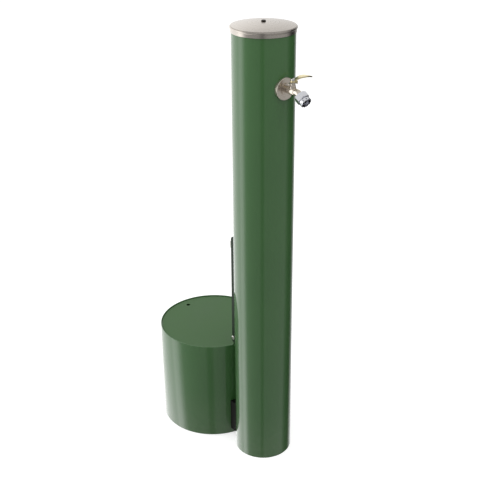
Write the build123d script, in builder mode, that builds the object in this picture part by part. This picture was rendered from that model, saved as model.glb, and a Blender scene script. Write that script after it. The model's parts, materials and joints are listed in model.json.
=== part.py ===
from build123d import *
from math import cos, radians, sin, sqrt
import os

os.makedirs("parts", exist_ok=True)

# Garden standpipe: a round column with a lever tap in front and a lidded hose drum behind.
# The origin is on the floor, on the column's axis. +Z is up, the tap points along -Y and
# the drum stands on the +Y side. All lengths are in millimetres.

# Shared fits
slip_fit = 0.3
running_fit = 0.05
seat_play = 0.1
bolt_end = 1
first_hole_angle = 45
hex_sides = 6
head_round_share = 0.6
key_depth_share = 0.5

# Column
column_diameter = 129
column_wall = 2
column_height = 990

# Floor socket inside the column's foot
socket_plate_thickness = 6
socket_spigot_wall = 3
socket_spigot_height = 30
supply_hole_diameter = 40
anchor_circle_diameter = 88
anchor_hole_diameter = 9
anchor_count = 4
foot_screw_diameter = 5
foot_screw_length = 8
foot_screw_height = 18
foot_screw_angles = (40, 140)
foot_screw_cone_angle = 90

# Cap
cap_sheet = 1.2
cap_skirt_height = 6.8
cap_skirt_thickness = 1
cap_bead_height = 4.6
cap_bead_reach = 1.8
cap_groove_width = 0.6
cap_groove_depth = 0.7
cap_dome_rise = 7
cap_gasket_thickness = 1.2
cap_screw_diameter = 5
cap_screw_length = 36
cap_screw_head_diameter = 9.5
cap_screw_head_height = 3.2
cap_screw_key = 3
bridge_width = 24
bridge_thickness = 5
bridge_depth = 18

# Tap, measured out from or into the column's wall and up from the tap's own axis
tap_drop = 107.5
tap_hole_diameter = 22
nipple_diameter = 20.955
nipple_depth = 22.5
rosette_diameter = 45.5
rosette_thickness = 4
rosette_wall = 1.6
rosette_bevel = 1.4
rosette_hole_play = 0.25
rosette_seal_diameter = 34
seal_play = 0.3
shoulder_diameter = 24
shoulder_thickness = 2.5
neck_diameter = 14.4
neck_reach = 8
bulge_rise = 1
stem_gap = 24.1
boss_diameter = 12.4
boss_height = 9.2
chamber_diameter = 10.8
waterway_diameter = 7
spout_diameter = 14
spout_bend_radius = 15
spout_angle = 30
spout_run = 14
spout_length = 14
collar_diameter = 18
collar_thickness = 2.5

# Ball valve
ball_diameter = 9.6
ball_bore = 6.4
seat_thickness = 2.8
retainer_length = 6
slot_width = 2.2
slot_depth = 1.3
stem_diameter = 6
stem_shoulder_height = 18.5
stem_top_diameter = 4.8
stem_top_height = 25
packing_diameter = 9.2
packing_height = 1.4
packing_floor = 6.5
gland_across_flats = 11
gland_hex_height = 2.8
gland_neck_diameter = 9.6
stop_plate_height = 15.4
stop_plate_thickness = 2.2
stop_plate_length = 24
stop_plate_width = 6

# Lever, along +X from the stem
lever_thickness = 2.6
lever_hub_diameter = 11
lever_hub_thickness = 3
lever_length = 50.5
lever_arch = 5.4
lever_root_width = 7
lever_blade_width = 14
lever_blade_share = 0.62
lug_angle = -45
lug_reach = 9.5
lug_length = 3
lug_width = 3.6
lever_nut_diameter = 8.6
lever_nut_height = 4.8

# Union nut and hose connector, measured along the spout from its bend
union_across_flats = 24
union_length = 13
union_lip = 3.4
union_thread_diameter = 19.2
union_corner_cut = 1.6
washer_thickness = 1
connector_thread_length = 6
connector_neck_diameter = 18
connector_neck_length = 1.4
connector_chamfer = 0.7
connector_ring_diameter = 23
connector_ring_length = 7.3
connector_bore = 15
connector_bore_depth = 11
connector_slots = 10
connector_slot_width = 2.4
connector_slot_depth = 2
connector_slot_length = 4.2

# Elbow and riser inside the column
saddle_diameter = 34
saddle_thickness = 5.5
elbow_hub_diameter = 28
elbow_hub_depth = 26.5
elbow_axis_depth = 34.5
elbow_diameter = 22
elbow_drop = 16
socket_depth = 9
thread_length = 10
compression_thread_diameter = 20
compression_across_flats = 25
compression_nut_length = 14
riser_diameter = 15
riser_wall = 1
riser_bend_radius = 60
riser_straight_foot = 100
riser_offset_height = 50
inlet_height = 24
inlet_thread_length = 16
inlet_across_flats = 24
inlet_hex_thickness = 10
clip_height_shares = (0.3, 0.66)
clip_width = 12
clip_wall = 2.4
clip_foot_width = 24
clip_foot_depth = 4
clip_arm_width = 8

# Hose drum
drum_diameter = 250
drum_wall = 2
drum_height = 247
drum_foot_gap = 1
drum_column_gap = 1.5
base_thickness = 3
ledge_width = 10
ledge_thickness = 3
drain_count = 6
drain_diameter = 8
drain_inset = 63
foot_diameter = 28
foot_height = 8
foot_sole_share = 0.86
foot_count = 4
foot_inset = 28
foot_recess_diameter = 13
foot_recess_depth = 4.5
foot_bolt_diameter = 6
foot_bolt_head_diameter = 10.5
foot_bolt_head_height = 3.3
foot_bolt_key = 4
foot_nut_across_flats = 10
foot_nut_thickness = 5

# Spacer between column and drum, and what bolts through it
spacer_width = 80
spacer_bottom = 15
spacer_height = 79
tie_bolt_diameter = 8
tie_bolt_spacing = 30
tie_across_flats = 13
tie_head_height = 5.3
tie_nut_thickness = 6.5
tie_washer_diameter = 16
tie_washer_thickness = 1.6

# Lid and its hinge
lid_thickness = 2
lid_recess = 2
lid_rim_play = 1.5
lid_hole_diameter = 9.5
lid_hole_inset = 20.5
lid_tab_relief = 2.4
hinge_rise = 18
hinge_pin_diameter = 5
hinge_sleeve_diameter = 8.4
hinge_side_play = 0.5
hinge_head_diameter = 10
hinge_head_height = 3
hinge_head_key = 4
hinge_nut_across_flats = 8
hinge_nut_thickness = 4

# Rail up the column's back, and the rest that the open lid leans on
rail_width = 60
rail_sheet = 2
rail_depth = 11
rail_gap = 6
rail_length = 270
rail_top_radius = 8
rail_foot_radius = 5
rail_screw_diameter = 6
rail_screw_head_diameter = 10.5
rail_screw_head_height = 3.3
rail_screw_key = 4
rail_screw_rises = (57, 197)
rail_nut_across_flats = 10
rail_nut_thickness = 5
rest_reach = 6.4
rest_height = 16
rest_drop = 31
rest_edge_radius = 1.5

# Radii and places worked out from the sizes above
column_radius = column_diameter / 2
column_inner_radius = column_radius - column_wall
drum_radius = drum_diameter / 2
drum_inner_radius = drum_radius - drum_wall
drum_y = column_radius + drum_column_gap + drum_radius
drum_plane = Plane((0, drum_y, 0))
lid_top = drum_height - lid_recess
lid_bottom = lid_top - lid_thickness
lid_radius = drum_inner_radius - lid_rim_play
rail_back = column_radius + rail_depth
rail_bottom = drum_height + rail_gap
rail_top = rail_bottom + rail_length
hinge_height = drum_height + hinge_rise
drain_circle_radius = drum_inner_radius - drain_inset
foot_circle_radius = drum_inner_radius - foot_inset
tap_height = column_height - tap_drop
hinge_sleeve_radius = hinge_sleeve_diameter / 2
hinge_y = column_radius + rail_sheet + slip_fit + hinge_sleeve_radius
pin_plane = Plane(origin=(-rail_width / 2, hinge_y, hinge_height), x_dir=(0, 1, 0), z_dir=(-1, 0, 0))
rosette_front = column_radius + rosette_thickness
nipple_end = column_radius - nipple_depth
stem_reach = column_radius + stem_gap
spout_vertex_reach = stem_reach + spout_run
saddle_back = column_inner_radius - saddle_thickness
elbow_hub_back = column_radius - elbow_hub_depth
elbow_axis_reach = column_radius - elbow_axis_depth
tap_plane = Plane(origin=(0, 0, tap_height), x_dir=(1, 0, 0), z_dir=(0, -1, 0))
tap_side = Plane(origin=(0, 0, tap_height), x_dir=(0, -1, 0), z_dir=(-1, 0, 0))
tap_axis = Axis((0, 0, tap_height), (0, -1, 0))
stem_plane = Plane((0, -stem_reach, tap_height))
stem_end = Plane(origin=(0, -stem_reach, tap_height), x_dir=(0, 1, 0), z_dir=(1, 0, 0))
lever_side = Plane(origin=(0, -stem_reach, tap_height), x_dir=(1, 0, 0), z_dir=(0, -1, 0))
lug_plane = stem_plane.rotated((0, 0, lug_angle))
spout_direction = (0, -cos(radians(spout_angle)), -sin(radians(spout_angle)))
spout_vertex = (0, -spout_vertex_reach, tap_height)
outlet_plane = Plane(origin=spout_vertex, x_dir=(1, 0, 0), z_dir=spout_direction)
outlet_side = Plane(origin=spout_vertex, x_dir=spout_direction, z_dir=(-1, 0, 0))
outlet_axis = Axis(spout_vertex, spout_direction)


def sagitta(radius, half_chord):
    """How far a flat of this half width stands off the middle of a round wall."""
    return radius - sqrt(radius**2 - half_chord**2)


def radial_plane(angle, radius, height):
    """The plane that touches an upright cylinder on the column's axis."""
    outward = (cos(radians(angle)), sin(radians(angle)), 0)
    return Plane(origin=(radius * outward[0], radius * outward[1], height), z_dir=outward)


def button_screw(seat, shank_diameter, shank_length, head_diameter, head_height, key_size):
    """A round-headed screw with a hexagon socket, its head standing on the seat plane."""
    with BuildPart() as screw:
        with BuildSketch(seat):
            Circle(head_diameter / 2)
        extrude(amount=head_height)
        crown = screw.faces().sort_by(Axis(seat.origin, seat.z_dir))[-1]
        fillet(crown.edges(), head_height * head_round_share)
        with BuildSketch(seat.offset(head_height)):
            RegularPolygon(key_size / 2, hex_sides, major_radius=False)
        extrude(amount=-head_height * key_depth_share, mode=Mode.SUBTRACT)
        with BuildSketch(seat):
            Circle(shank_diameter / 2)
        extrude(amount=-shank_length)
    return screw.part


def hex_nut(seat, across_flats, thickness, bore_radius):
    """A hexagon nut that stands on the seat plane."""
    with BuildPart() as nut:
        with BuildSketch(seat):
            RegularPolygon(across_flats / 2, hex_sides, major_radius=False)
            Circle(bore_radius, mode=Mode.SUBTRACT)
        extrude(amount=thickness)
    return nut.part


def ring(seat, outer_radius, bore_radius, thickness):
    """A flat ring that stands on the seat plane."""
    with BuildPart() as washer:
        with BuildSketch(seat):
            Circle(outer_radius)
            Circle(bore_radius, mode=Mode.SUBTRACT)
        extrude(amount=thickness)
    return washer.part


def behind(plane_y, height):
    """An upright plane that looks along +Y."""
    return Plane(origin=(0, plane_y, height), x_dir=(1, 0, 0), z_dir=(0, 1, 0))


def before(plane_y, height):
    """An upright plane that looks along -Y."""
    return Plane(origin=(0, plane_y, height), x_dir=(1, 0, 0), z_dir=(0, -1, 0))


# Column tube, with the tap's hole in front and the screw holes at the back and foot
tie_heights = [
    spacer_bottom + spacer_height / 2 - tie_bolt_spacing / 2,
    spacer_bottom + spacer_height / 2 + tie_bolt_spacing / 2,
]
tie_planes = [behind(column_radius, height) for height in tie_heights]
rail_screw_heights = [rail_bottom + rise for rise in rail_screw_rises]
rail_screw_planes = [behind(column_radius, height) for height in rail_screw_heights]
foot_screw_planes = [
    radial_plane(angle, column_radius, foot_screw_height) for angle in foot_screw_angles
]
foot_screw_head_radius = foot_screw_diameter / 2 + column_wall
with BuildPart() as column_tube:
    with BuildSketch():
        Circle(column_radius)
        Circle(column_inner_radius, mode=Mode.SUBTRACT)
    extrude(amount=column_height)
    with Locations(tap_plane.offset(column_radius)):
        Hole(tap_hole_diameter / 2, depth=column_wall + tap_hole_diameter / 2)
    with Locations(tie_planes):
        Hole(tie_bolt_diameter / 2 + seat_play, depth=column_wall + slip_fit)
    with Locations(rail_screw_planes):
        Hole(rail_screw_diameter / 2 + seat_play, depth=column_wall + slip_fit)
    with Locations(foot_screw_planes):
        CounterSinkHole(
            foot_screw_diameter / 2 + seat_play,
            foot_screw_head_radius + seat_play,
            depth=column_wall + slip_fit,
            counter_sink_angle=foot_screw_cone_angle,
        )
column_tube.part.label = "column_tube"
export_step(column_tube.part, "parts/column_tube.step")

# Floor socket: a plate with an upstanding spigot that the column slides over
socket_radius = column_inner_radius - slip_fit
with BuildPart() as floor_socket:
    with BuildSketch():
        Circle(socket_radius)
        Circle(supply_hole_diameter / 2, mode=Mode.SUBTRACT)
        with PolarLocations(anchor_circle_diameter / 2, anchor_count, start_angle=first_hole_angle):
            Circle(anchor_hole_diameter / 2, mode=Mode.SUBTRACT)
    extrude(amount=socket_plate_thickness)
    with BuildSketch(Plane.XY.offset(socket_plate_thickness)):
        Circle(socket_radius)
        Circle(socket_radius - socket_spigot_wall, mode=Mode.SUBTRACT)
    extrude(amount=socket_spigot_height - socket_plate_thickness)
    with Locations(foot_screw_planes):
        Hole(
            foot_screw_diameter / 2 + running_fit,
            depth=column_wall + slip_fit + socket_spigot_wall + slip_fit,
        )
floor_socket.part.label = "floor_socket"
export_step(floor_socket.part, "parts/floor_socket.step")

# Countersunk screws that lock the column on its socket, flush with the wall
with BuildPart() as foot_screws:
    for seat in foot_screw_planes:
        with BuildSketch(seat):
            Circle(foot_screw_head_radius)
        with BuildSketch(seat.offset(-column_wall)):
            Circle(foot_screw_diameter / 2)
        loft()
        with BuildSketch(seat.offset(-column_wall)):
            Circle(foot_screw_diameter / 2)
        extrude(amount=column_wall - foot_screw_length)
foot_screws.part.label = "foot_screws"
export_step(foot_screws.part, "parts/foot_screws.step")

# Cap: a pressed stainless lid with a skirt, a rolled bead, a groove and a low dome
cap_seat = column_height + cap_gasket_thickness
skirt_inner = column_radius + seat_play
skirt_outer = skirt_inner + cap_skirt_thickness
skirt_bottom = cap_seat - cap_skirt_height
bead_top = cap_seat + cap_bead_height
groove_top = bead_top + cap_groove_width
cap_top = groove_top + cap_dome_rise
dome_curve = (skirt_outer**2 + cap_dome_rise**2) / (2 * cap_dome_rise)
ceiling_curve = dome_curve - cap_sheet
ceiling_top = cap_top - cap_sheet
ceiling_edge = ceiling_top - sagitta(ceiling_curve, column_inner_radius)
with BuildPart() as cap:
    with BuildSketch(Plane.XZ):
        with BuildLine():
            Polyline(
                (column_inner_radius, ceiling_edge),
                (column_inner_radius, cap_seat),
                (skirt_inner, cap_seat),
                (skirt_inner, skirt_bottom),
                (skirt_outer, skirt_bottom),
                (skirt_outer, cap_seat),
            )
            ThreePointArc(
                (skirt_outer, cap_seat),
                (skirt_outer + cap_bead_reach, (cap_seat + bead_top) / 2),
                (skirt_outer, bead_top),
            )
            Polyline(
                (skirt_outer, bead_top),
                (skirt_outer - cap_groove_depth, bead_top),
                (skirt_outer - cap_groove_depth, groove_top),
                (skirt_outer, groove_top),
            )
            ThreePointArc(
                (skirt_outer, groove_top),
                (skirt_outer / 2, cap_top - sagitta(dome_curve, skirt_outer / 2)),
                (0, cap_top),
            )
            Line((0, cap_top), (0, ceiling_top))
            ThreePointArc(
                (0, ceiling_top),
                (column_inner_radius / 2, ceiling_top - sagitta(ceiling_curve, column_inner_radius / 2)),
                (column_inner_radius, ceiling_edge),
            )
        make_face()
    revolve(axis=Axis.Z)
    with Locations((0, 0, cap_top)):
        Hole(cap_screw_diameter / 2 + seat_play, depth=cap_bead_height)
cap.part.label = "cap"
export_step(cap.part, "parts/cap.step")

# Flat gasket between the tube's top and the cap
with BuildPart() as cap_gasket:
    add(ring(Plane.XY.offset(column_height), column_radius, column_inner_radius, cap_gasket_thickness))
cap_gasket.part.label = "cap_gasket"
export_step(cap_gasket.part, "parts/cap_gasket.step")

# Bar across the tube that the cap's screw goes into, its ends on the tube's wall
with BuildPart() as cap_bridge:
    with BuildSketch(Plane.XY.offset(column_height - bridge_depth)):
        Circle(column_inner_radius)
        Rectangle(column_diameter, bridge_width, mode=Mode.INTERSECT)
        Circle(cap_screw_diameter / 2 + running_fit, mode=Mode.SUBTRACT)
    extrude(amount=-bridge_thickness)
cap_bridge.part.label = "cap_bridge"
export_step(cap_bridge.part, "parts/cap_bridge.step")

with BuildPart() as cap_screw:
    add(
        button_screw(
            Plane.XY.offset(cap_top),
            cap_screw_diameter,
            cap_screw_length,
            cap_screw_head_diameter,
            cap_screw_head_height,
            cap_screw_key,
        )
    )
cap_screw.part.label = "cap_screw"
export_step(cap_screw.part, "parts/cap_screw.step")

# Rosette: a round cup whose rim follows the column's wall
with BuildPart() as tap_rosette:
    with BuildSketch(tap_plane.offset(rosette_front)):
        Circle(rosette_diameter / 2)
    extrude(amount=-rosette_diameter / 2)
    fillet(tap_rosette.faces().sort_by(tap_axis)[-1].edges(), rosette_bevel)
    with BuildSketch(tap_plane.offset(rosette_front - rosette_wall)):
        Circle(rosette_diameter / 2 - rosette_wall)
    extrude(amount=-rosette_diameter / 2, mode=Mode.SUBTRACT)
    with BuildSketch(tap_plane.offset(rosette_front)):
        Circle(nipple_diameter / 2 + rosette_hole_play)
    extrude(amount=-rosette_diameter / 2, mode=Mode.SUBTRACT)
    with Locations((0, 0, tap_height)):
        Cylinder(column_radius, column_diameter, mode=Mode.SUBTRACT)
tap_rosette.part.label = "tap_rosette"
export_step(tap_rosette.part, "parts/tap_rosette.step")

# Soft ring between the column and the rosette's front
with BuildPart() as rosette_seal:
    with BuildSketch(tap_plane.offset(rosette_front - rosette_wall)):
        Circle(rosette_seal_diameter / 2)
        Circle(nipple_diameter / 2 + seal_play, mode=Mode.SUBTRACT)
    extrude(amount=-rosette_seal_diameter / 2)
    with Locations((0, 0, tap_height)):
        Cylinder(column_radius, column_diameter, mode=Mode.SUBTRACT)
rosette_seal.part.label = "rosette_seal"
export_step(rosette_seal.part, "parts/rosette_seal.step")

# Tap body: threaded nipple, shoulder, neck round the ball, bonnet boss and bent spout
neck_radius = neck_diameter / 2
shoulder_front = rosette_front + shoulder_thickness
ball_radius = ball_diameter / 2
seat_start = stem_diameter / 2 + seat_play
front_seat = stem_reach + seat_start
rear_seat = stem_reach - seat_start - seat_thickness
with BuildPart() as tap_body:
    with BuildSketch(tap_side):
        with BuildLine():
            Polyline(
                (stem_reach + neck_reach, neck_radius),
                (stem_reach + neck_reach, 0),
                (nipple_end, 0),
                (nipple_end, nipple_diameter / 2),
                (rosette_front, nipple_diameter / 2),
                (rosette_front, shoulder_diameter / 2),
                (shoulder_front, shoulder_diameter / 2),
                (shoulder_front, neck_radius),
                (stem_reach - neck_reach, neck_radius),
            )
            ThreePointArc(
                (stem_reach - neck_reach, neck_radius),
                (stem_reach, neck_radius + bulge_rise),
                (stem_reach + neck_reach, neck_radius),
            )
        make_face()
    revolve(axis=tap_axis)
    with BuildSketch(stem_plane):
        Circle(boss_diameter / 2)
    extrude(amount=boss_height)
    with BuildLine(tap_side) as spout_path:
        FilletPolyline(
            (stem_reach, 0),
            (spout_vertex_reach, 0),
            (
                spout_vertex_reach + spout_length * cos(radians(spout_angle)),
                -spout_length * sin(radians(spout_angle)),
            ),
            radius=spout_bend_radius,
        )
    with BuildSketch(tap_plane.offset(stem_reach)):
        Circle(spout_diameter / 2)
    sweep(path=spout_path.line)
    with BuildSketch(outlet_plane.offset(spout_length - collar_thickness)):
        Circle(collar_diameter / 2)
    extrude(amount=collar_thickness)
    with BuildSketch(tap_plane.offset(stem_reach)):
        Circle(waterway_diameter / 2)
    sweep(path=spout_path.line, mode=Mode.SUBTRACT)
    with BuildSketch(tap_plane.offset(nipple_end)):
        Circle(chamber_diameter / 2)
    extrude(amount=front_seat + seat_thickness - nipple_end, mode=Mode.SUBTRACT)
    with BuildSketch(stem_plane):
        Circle(stem_diameter / 2 + running_fit)
    extrude(amount=boss_height, mode=Mode.SUBTRACT)
    with BuildSketch(stem_plane.offset(packing_floor)):
        Circle(packing_diameter / 2)
    extrude(amount=boss_height, mode=Mode.SUBTRACT)
tap_body.part.label = "tap_body"
export_step(tap_body.part, "parts/tap_body.step")

# Ball seats before and behind the ball, dished to its curve
with BuildPart() as ball_seats:
    for seat_back in (rear_seat, front_seat):
        add(
            ring(
                tap_plane.offset(seat_back),
                chamber_diameter / 2,
                waterway_diameter / 2,
                seat_thickness,
            )
        )
    with Locations(stem_plane):
        Sphere(ball_radius + running_fit, mode=Mode.SUBTRACT)
ball_seats.part.label = "ball_seats"
export_step(ball_seats.part, "parts/ball_seats.step")

# Threaded ring that holds the rear seat in, with a hexagon way through for its key
with BuildPart() as seat_retainer:
    with BuildSketch(tap_plane.offset(rear_seat)):
        Circle(chamber_diameter / 2)
        RegularPolygon(waterway_diameter / 2, hex_sides, major_radius=False, mode=Mode.SUBTRACT)
    extrude(amount=-retainer_length)
seat_retainer.part.label = "seat_retainer"
export_step(seat_retainer.part, "parts/seat_retainer.step")

# Ball, shut: its bore lies along the lever, its slot along the tap
with BuildPart() as valve_ball:
    with Locations(stem_plane):
        Sphere(ball_radius)
    with BuildSketch(stem_end.offset(-ball_radius)):
        Circle(ball_bore / 2)
    extrude(amount=ball_diameter, mode=Mode.SUBTRACT)
    with BuildSketch(stem_plane.offset(ball_radius - slot_depth)):
        Rectangle(slot_width, ball_diameter)
    extrude(amount=ball_radius, mode=Mode.SUBTRACT)
valve_ball.part.label = "valve_ball"
export_step(valve_ball.part, "parts/valve_ball.step")

# Stem: a tang in the ball's slot, a round shaft and a thinner end for the lever
stem_foot = ball_radius + running_fit
with BuildPart() as valve_stem:
    with BuildSketch(stem_plane.offset(stem_foot)):
        Circle(stem_diameter / 2)
    extrude(amount=stem_shoulder_height - stem_foot)
    with BuildSketch(stem_plane.offset(stem_shoulder_height)):
        Circle(stem_top_diameter / 2)
    extrude(amount=stem_top_height - stem_shoulder_height)
    with BuildSketch(stem_plane.offset(stem_foot - slot_depth)):
        Circle(stem_diameter / 2)
        Rectangle(slot_width - running_fit, ball_diameter, mode=Mode.INTERSECT)
    extrude(amount=slot_depth)
valve_stem.part.label = "valve_stem"
export_step(valve_stem.part, "parts/valve_stem.step")

stem_bore = stem_diameter / 2 + running_fit
with BuildPart() as stem_packing:
    add(ring(stem_plane.offset(packing_floor), packing_diameter / 2, stem_bore, packing_height))
stem_packing.part.label = "stem_packing"
export_step(stem_packing.part, "parts/stem_packing.step")

# Gland nut: a spigot on the packing, a hexagon, a neck and a plate with two stop arms
packing_top = packing_floor + packing_height
gland_neck_start = boss_height + gland_hex_height
with BuildPart() as gland_nut:
    with BuildSketch(stem_plane.offset(packing_top)):
        Circle(packing_diameter / 2)
    extrude(amount=boss_height - packing_top)
    with BuildSketch(stem_plane.offset(boss_height)):
        RegularPolygon(gland_across_flats / 2, hex_sides, major_radius=False)
    extrude(amount=gland_hex_height)
    with BuildSketch(stem_plane.offset(gland_neck_start)):
        Circle(gland_neck_diameter / 2)
    extrude(amount=stop_plate_height + stop_plate_thickness - gland_neck_start)
    with BuildSketch(stem_plane.offset(stop_plate_height)):
        SlotOverall(stop_plate_length, stop_plate_width)
    extrude(amount=stop_plate_thickness)
    with BuildSketch(stem_plane):
        Circle(stem_bore)
    extrude(amount=stem_shoulder_height, mode=Mode.SUBTRACT)
gland_nut.part.label = "gland_nut"
export_step(gland_nut.part, "parts/gland_nut.step")

# Lever: an arched leaf-shaped blade on a hub, with a lug that runs between the stop arms
lever_top = stem_shoulder_height + lever_thickness
lever_middle = lever_length / 2
blade_widest = lever_length * lever_blade_share
blade_half = lever_blade_width / 2
root_half = lever_root_width / 2
hub_top = stem_shoulder_height + lever_hub_thickness
with BuildPart() as lever:
    with BuildSketch(lever_side.offset(-blade_half)):
        with BuildLine():
            ThreePointArc(
                (0, stem_shoulder_height),
                (lever_middle, stem_shoulder_height + lever_arch),
                (lever_length, stem_shoulder_height),
            )
            Line((lever_length, stem_shoulder_height), (lever_length, lever_top))
            ThreePointArc((lever_length, lever_top), (lever_middle, lever_top + lever_arch), (0, lever_top))
            Line((0, lever_top), (0, stem_shoulder_height))
        make_face()
    extrude(amount=lever_blade_width)
    with BuildSketch(stem_plane):
        with BuildLine():
            Line((0, -root_half), (0, root_half))
            Spline(
                (0, root_half),
                (blade_widest, blade_half),
                (lever_length, 0),
                (blade_widest, -blade_half),
                (0, -root_half),
                tangents=((1, 0), (-1, 0)),
            )
        make_face()
    extrude(amount=lever_length, mode=Mode.INTERSECT)
    with BuildSketch(stem_plane.offset(stem_shoulder_height)):
        Circle(lever_hub_diameter / 2)
    extrude(amount=lever_hub_thickness)
    with BuildSketch(lug_plane.offset(stem_shoulder_height)):
        with Locations((lug_reach / 2, 0)):
            Rectangle(lug_reach, lug_width)
    extrude(amount=lever_thickness)
    with BuildSketch(lug_plane.offset(stem_shoulder_height)):
        with Locations((lug_reach - lug_length / 2, 0)):
            Rectangle(lug_length, lug_width)
    extrude(amount=stop_plate_height + slip_fit - stem_shoulder_height)
    with BuildSketch(stem_plane.offset(hub_top)):
        Circle(lever_nut_diameter / 2 + slip_fit)
    extrude(amount=lever_length, mode=Mode.SUBTRACT)
    with BuildSketch(stem_plane):
        Circle(stem_top_diameter / 2 + running_fit)
    extrude(amount=lever_length, mode=Mode.SUBTRACT)
lever.part.label = "lever"
export_step(lever.part, "parts/lever.step")

# Domed nut that holds the lever on the stem
with BuildPart() as lever_nut:
    with BuildSketch(stem_plane.offset(hub_top)):
        Circle(lever_nut_diameter / 2)
    extrude(amount=lever_nut_height)
    fillet(lever_nut.faces().sort_by(Axis.Z)[-1].edges(), lever_nut_height * head_round_share)
    with BuildSketch(stem_plane):
        Circle(stem_top_diameter / 2 + running_fit)
    extrude(amount=stem_top_height + running_fit, mode=Mode.SUBTRACT)
lever_nut.part.label = "lever_nut"
export_step(lever_nut.part, "parts/lever_nut.step")

# Union nut round the spout's collar
collar_back = spout_length - collar_thickness
union_start = collar_back - union_lip
union_end = union_start + union_length
union_corner = union_across_flats / sqrt(3)
with BuildPart() as union_nut:
    with BuildSketch(outlet_plane.offset(union_start)):
        RegularPolygon(union_across_flats / 2, hex_sides, major_radius=False)
    extrude(amount=union_length)
    with BuildSketch(outlet_side):
        with BuildLine():
            Polyline(
                (union_start, 0),
                (union_start, union_corner - union_corner_cut),
                (union_start + union_corner_cut, union_corner),
                (union_end - union_corner_cut, union_corner),
                (union_end, union_corner - union_corner_cut),
                (union_end, 0),
                close=True,
            )
        make_face()
    revolve(axis=outlet_axis, mode=Mode.INTERSECT)
    with BuildSketch(outlet_plane.offset(union_start)):
        Circle(spout_diameter / 2 + seat_play)
    extrude(amount=union_length, mode=Mode.SUBTRACT)
    with BuildSketch(outlet_plane.offset(collar_back)):
        Circle(union_thread_diameter / 2)
    extrude(amount=union_length, mode=Mode.SUBTRACT)
union_nut.part.label = "union_nut"
export_step(union_nut.part, "parts/union_nut.step")

with BuildPart() as union_washer:
    add(
        ring(
            outlet_plane.offset(spout_length),
            collar_diameter / 2,
            waterway_diameter / 2,
            washer_thickness,
        )
    )
union_washer.part.label = "union_washer"
export_step(union_washer.part, "parts/union_washer.step")

# Hose connector: threaded end, neck, and a grip ring with slots round its mouth
connector_start = spout_length + washer_thickness
grip_start = union_end + connector_neck_length
connector_end = grip_start + connector_ring_length
with BuildPart() as hose_connector:
    with BuildSketch(outlet_plane.offset(connector_start)):
        Circle(union_thread_diameter / 2)
    extrude(amount=connector_thread_length)
    with BuildSketch(outlet_plane.offset(connector_start)):
        Circle(connector_neck_diameter / 2)
    extrude(amount=connector_end - connector_start)
    with BuildSketch(outlet_plane.offset(grip_start)):
        Circle(connector_ring_diameter / 2)
    extrude(amount=connector_ring_length)
    rim = hose_connector.edges().filter_by(GeomType.CIRCLE).group_by(SortBy.RADIUS)[-1]
    chamfer(rim, connector_chamfer)
    with BuildSketch(outlet_plane.offset(connector_start)):
        Circle(waterway_diameter / 2)
    extrude(amount=connector_end, mode=Mode.SUBTRACT)
    with BuildSketch(outlet_plane.offset(connector_end)):
        Circle(connector_bore / 2)
    extrude(amount=-connector_bore_depth, mode=Mode.SUBTRACT)
    with BuildSketch(outlet_plane.offset(connector_end)):
        with PolarLocations(connector_ring_diameter / 2, connector_slots):
            Rectangle(connector_slot_depth * 2, connector_slot_width)
    extrude(amount=-connector_slot_length, mode=Mode.SUBTRACT)
hose_connector.part.label = "hose_connector"
export_step(hose_connector.part, "parts/hose_connector.step")

# Saddle between the elbow and the column's inner wall
with BuildPart() as elbow_saddle:
    with BuildSketch(tap_plane.offset(saddle_back)):
        Circle(saddle_diameter / 2)
        Circle(nipple_diameter / 2 + seal_play, mode=Mode.SUBTRACT)
    extrude(amount=column_radius - saddle_back)
    with Locations((0, 0, tap_height)):
        Cylinder(column_inner_radius, column_diameter, mode=Mode.INTERSECT)
elbow_saddle.part.label = "elbow_saddle"
export_step(elbow_saddle.part, "parts/elbow_saddle.step")

# Wall elbow: a hub that takes the tap's nipple, and a threaded end pointing down
elbow_plane = Plane((0, -elbow_axis_reach, tap_height))
pipe_bore = riser_diameter / 2 - riser_wall
pipe_socket = riser_diameter / 2 + running_fit
elbow_end = elbow_drop + thread_length
with BuildPart() as wall_elbow:
    with BuildSketch(tap_plane.offset(elbow_hub_back)):
        Circle(elbow_hub_diameter / 2)
    extrude(amount=saddle_back - elbow_hub_back)
    with BuildSketch(tap_plane.offset(elbow_axis_reach)):
        Circle(elbow_diameter / 2)
    extrude(amount=elbow_hub_back - elbow_axis_reach)
    with Locations(elbow_plane):
        Sphere(elbow_diameter / 2)
    with BuildSketch(elbow_plane):
        Circle(elbow_diameter / 2)
    extrude(amount=-elbow_drop)
    with BuildSketch(elbow_plane):
        Circle(compression_thread_diameter / 2)
    extrude(amount=-elbow_end)
    with BuildSketch(tap_plane.offset(saddle_back)):
        Circle(nipple_diameter / 2 + running_fit)
    extrude(amount=nipple_end - slip_fit - saddle_back, mode=Mode.SUBTRACT)
    with BuildSketch(tap_plane.offset(elbow_axis_reach)):
        Circle(pipe_bore)
    extrude(amount=nipple_end - elbow_axis_reach, mode=Mode.SUBTRACT)
    with BuildSketch(elbow_plane):
        Circle(pipe_bore)
    extrude(amount=-elbow_end, mode=Mode.SUBTRACT)
    with BuildSketch(elbow_plane.offset(-elbow_end)):
        Circle(pipe_socket)
    extrude(amount=socket_depth, mode=Mode.SUBTRACT)
wall_elbow.part.label = "wall_elbow"
export_step(wall_elbow.part, "parts/wall_elbow.step")

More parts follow.
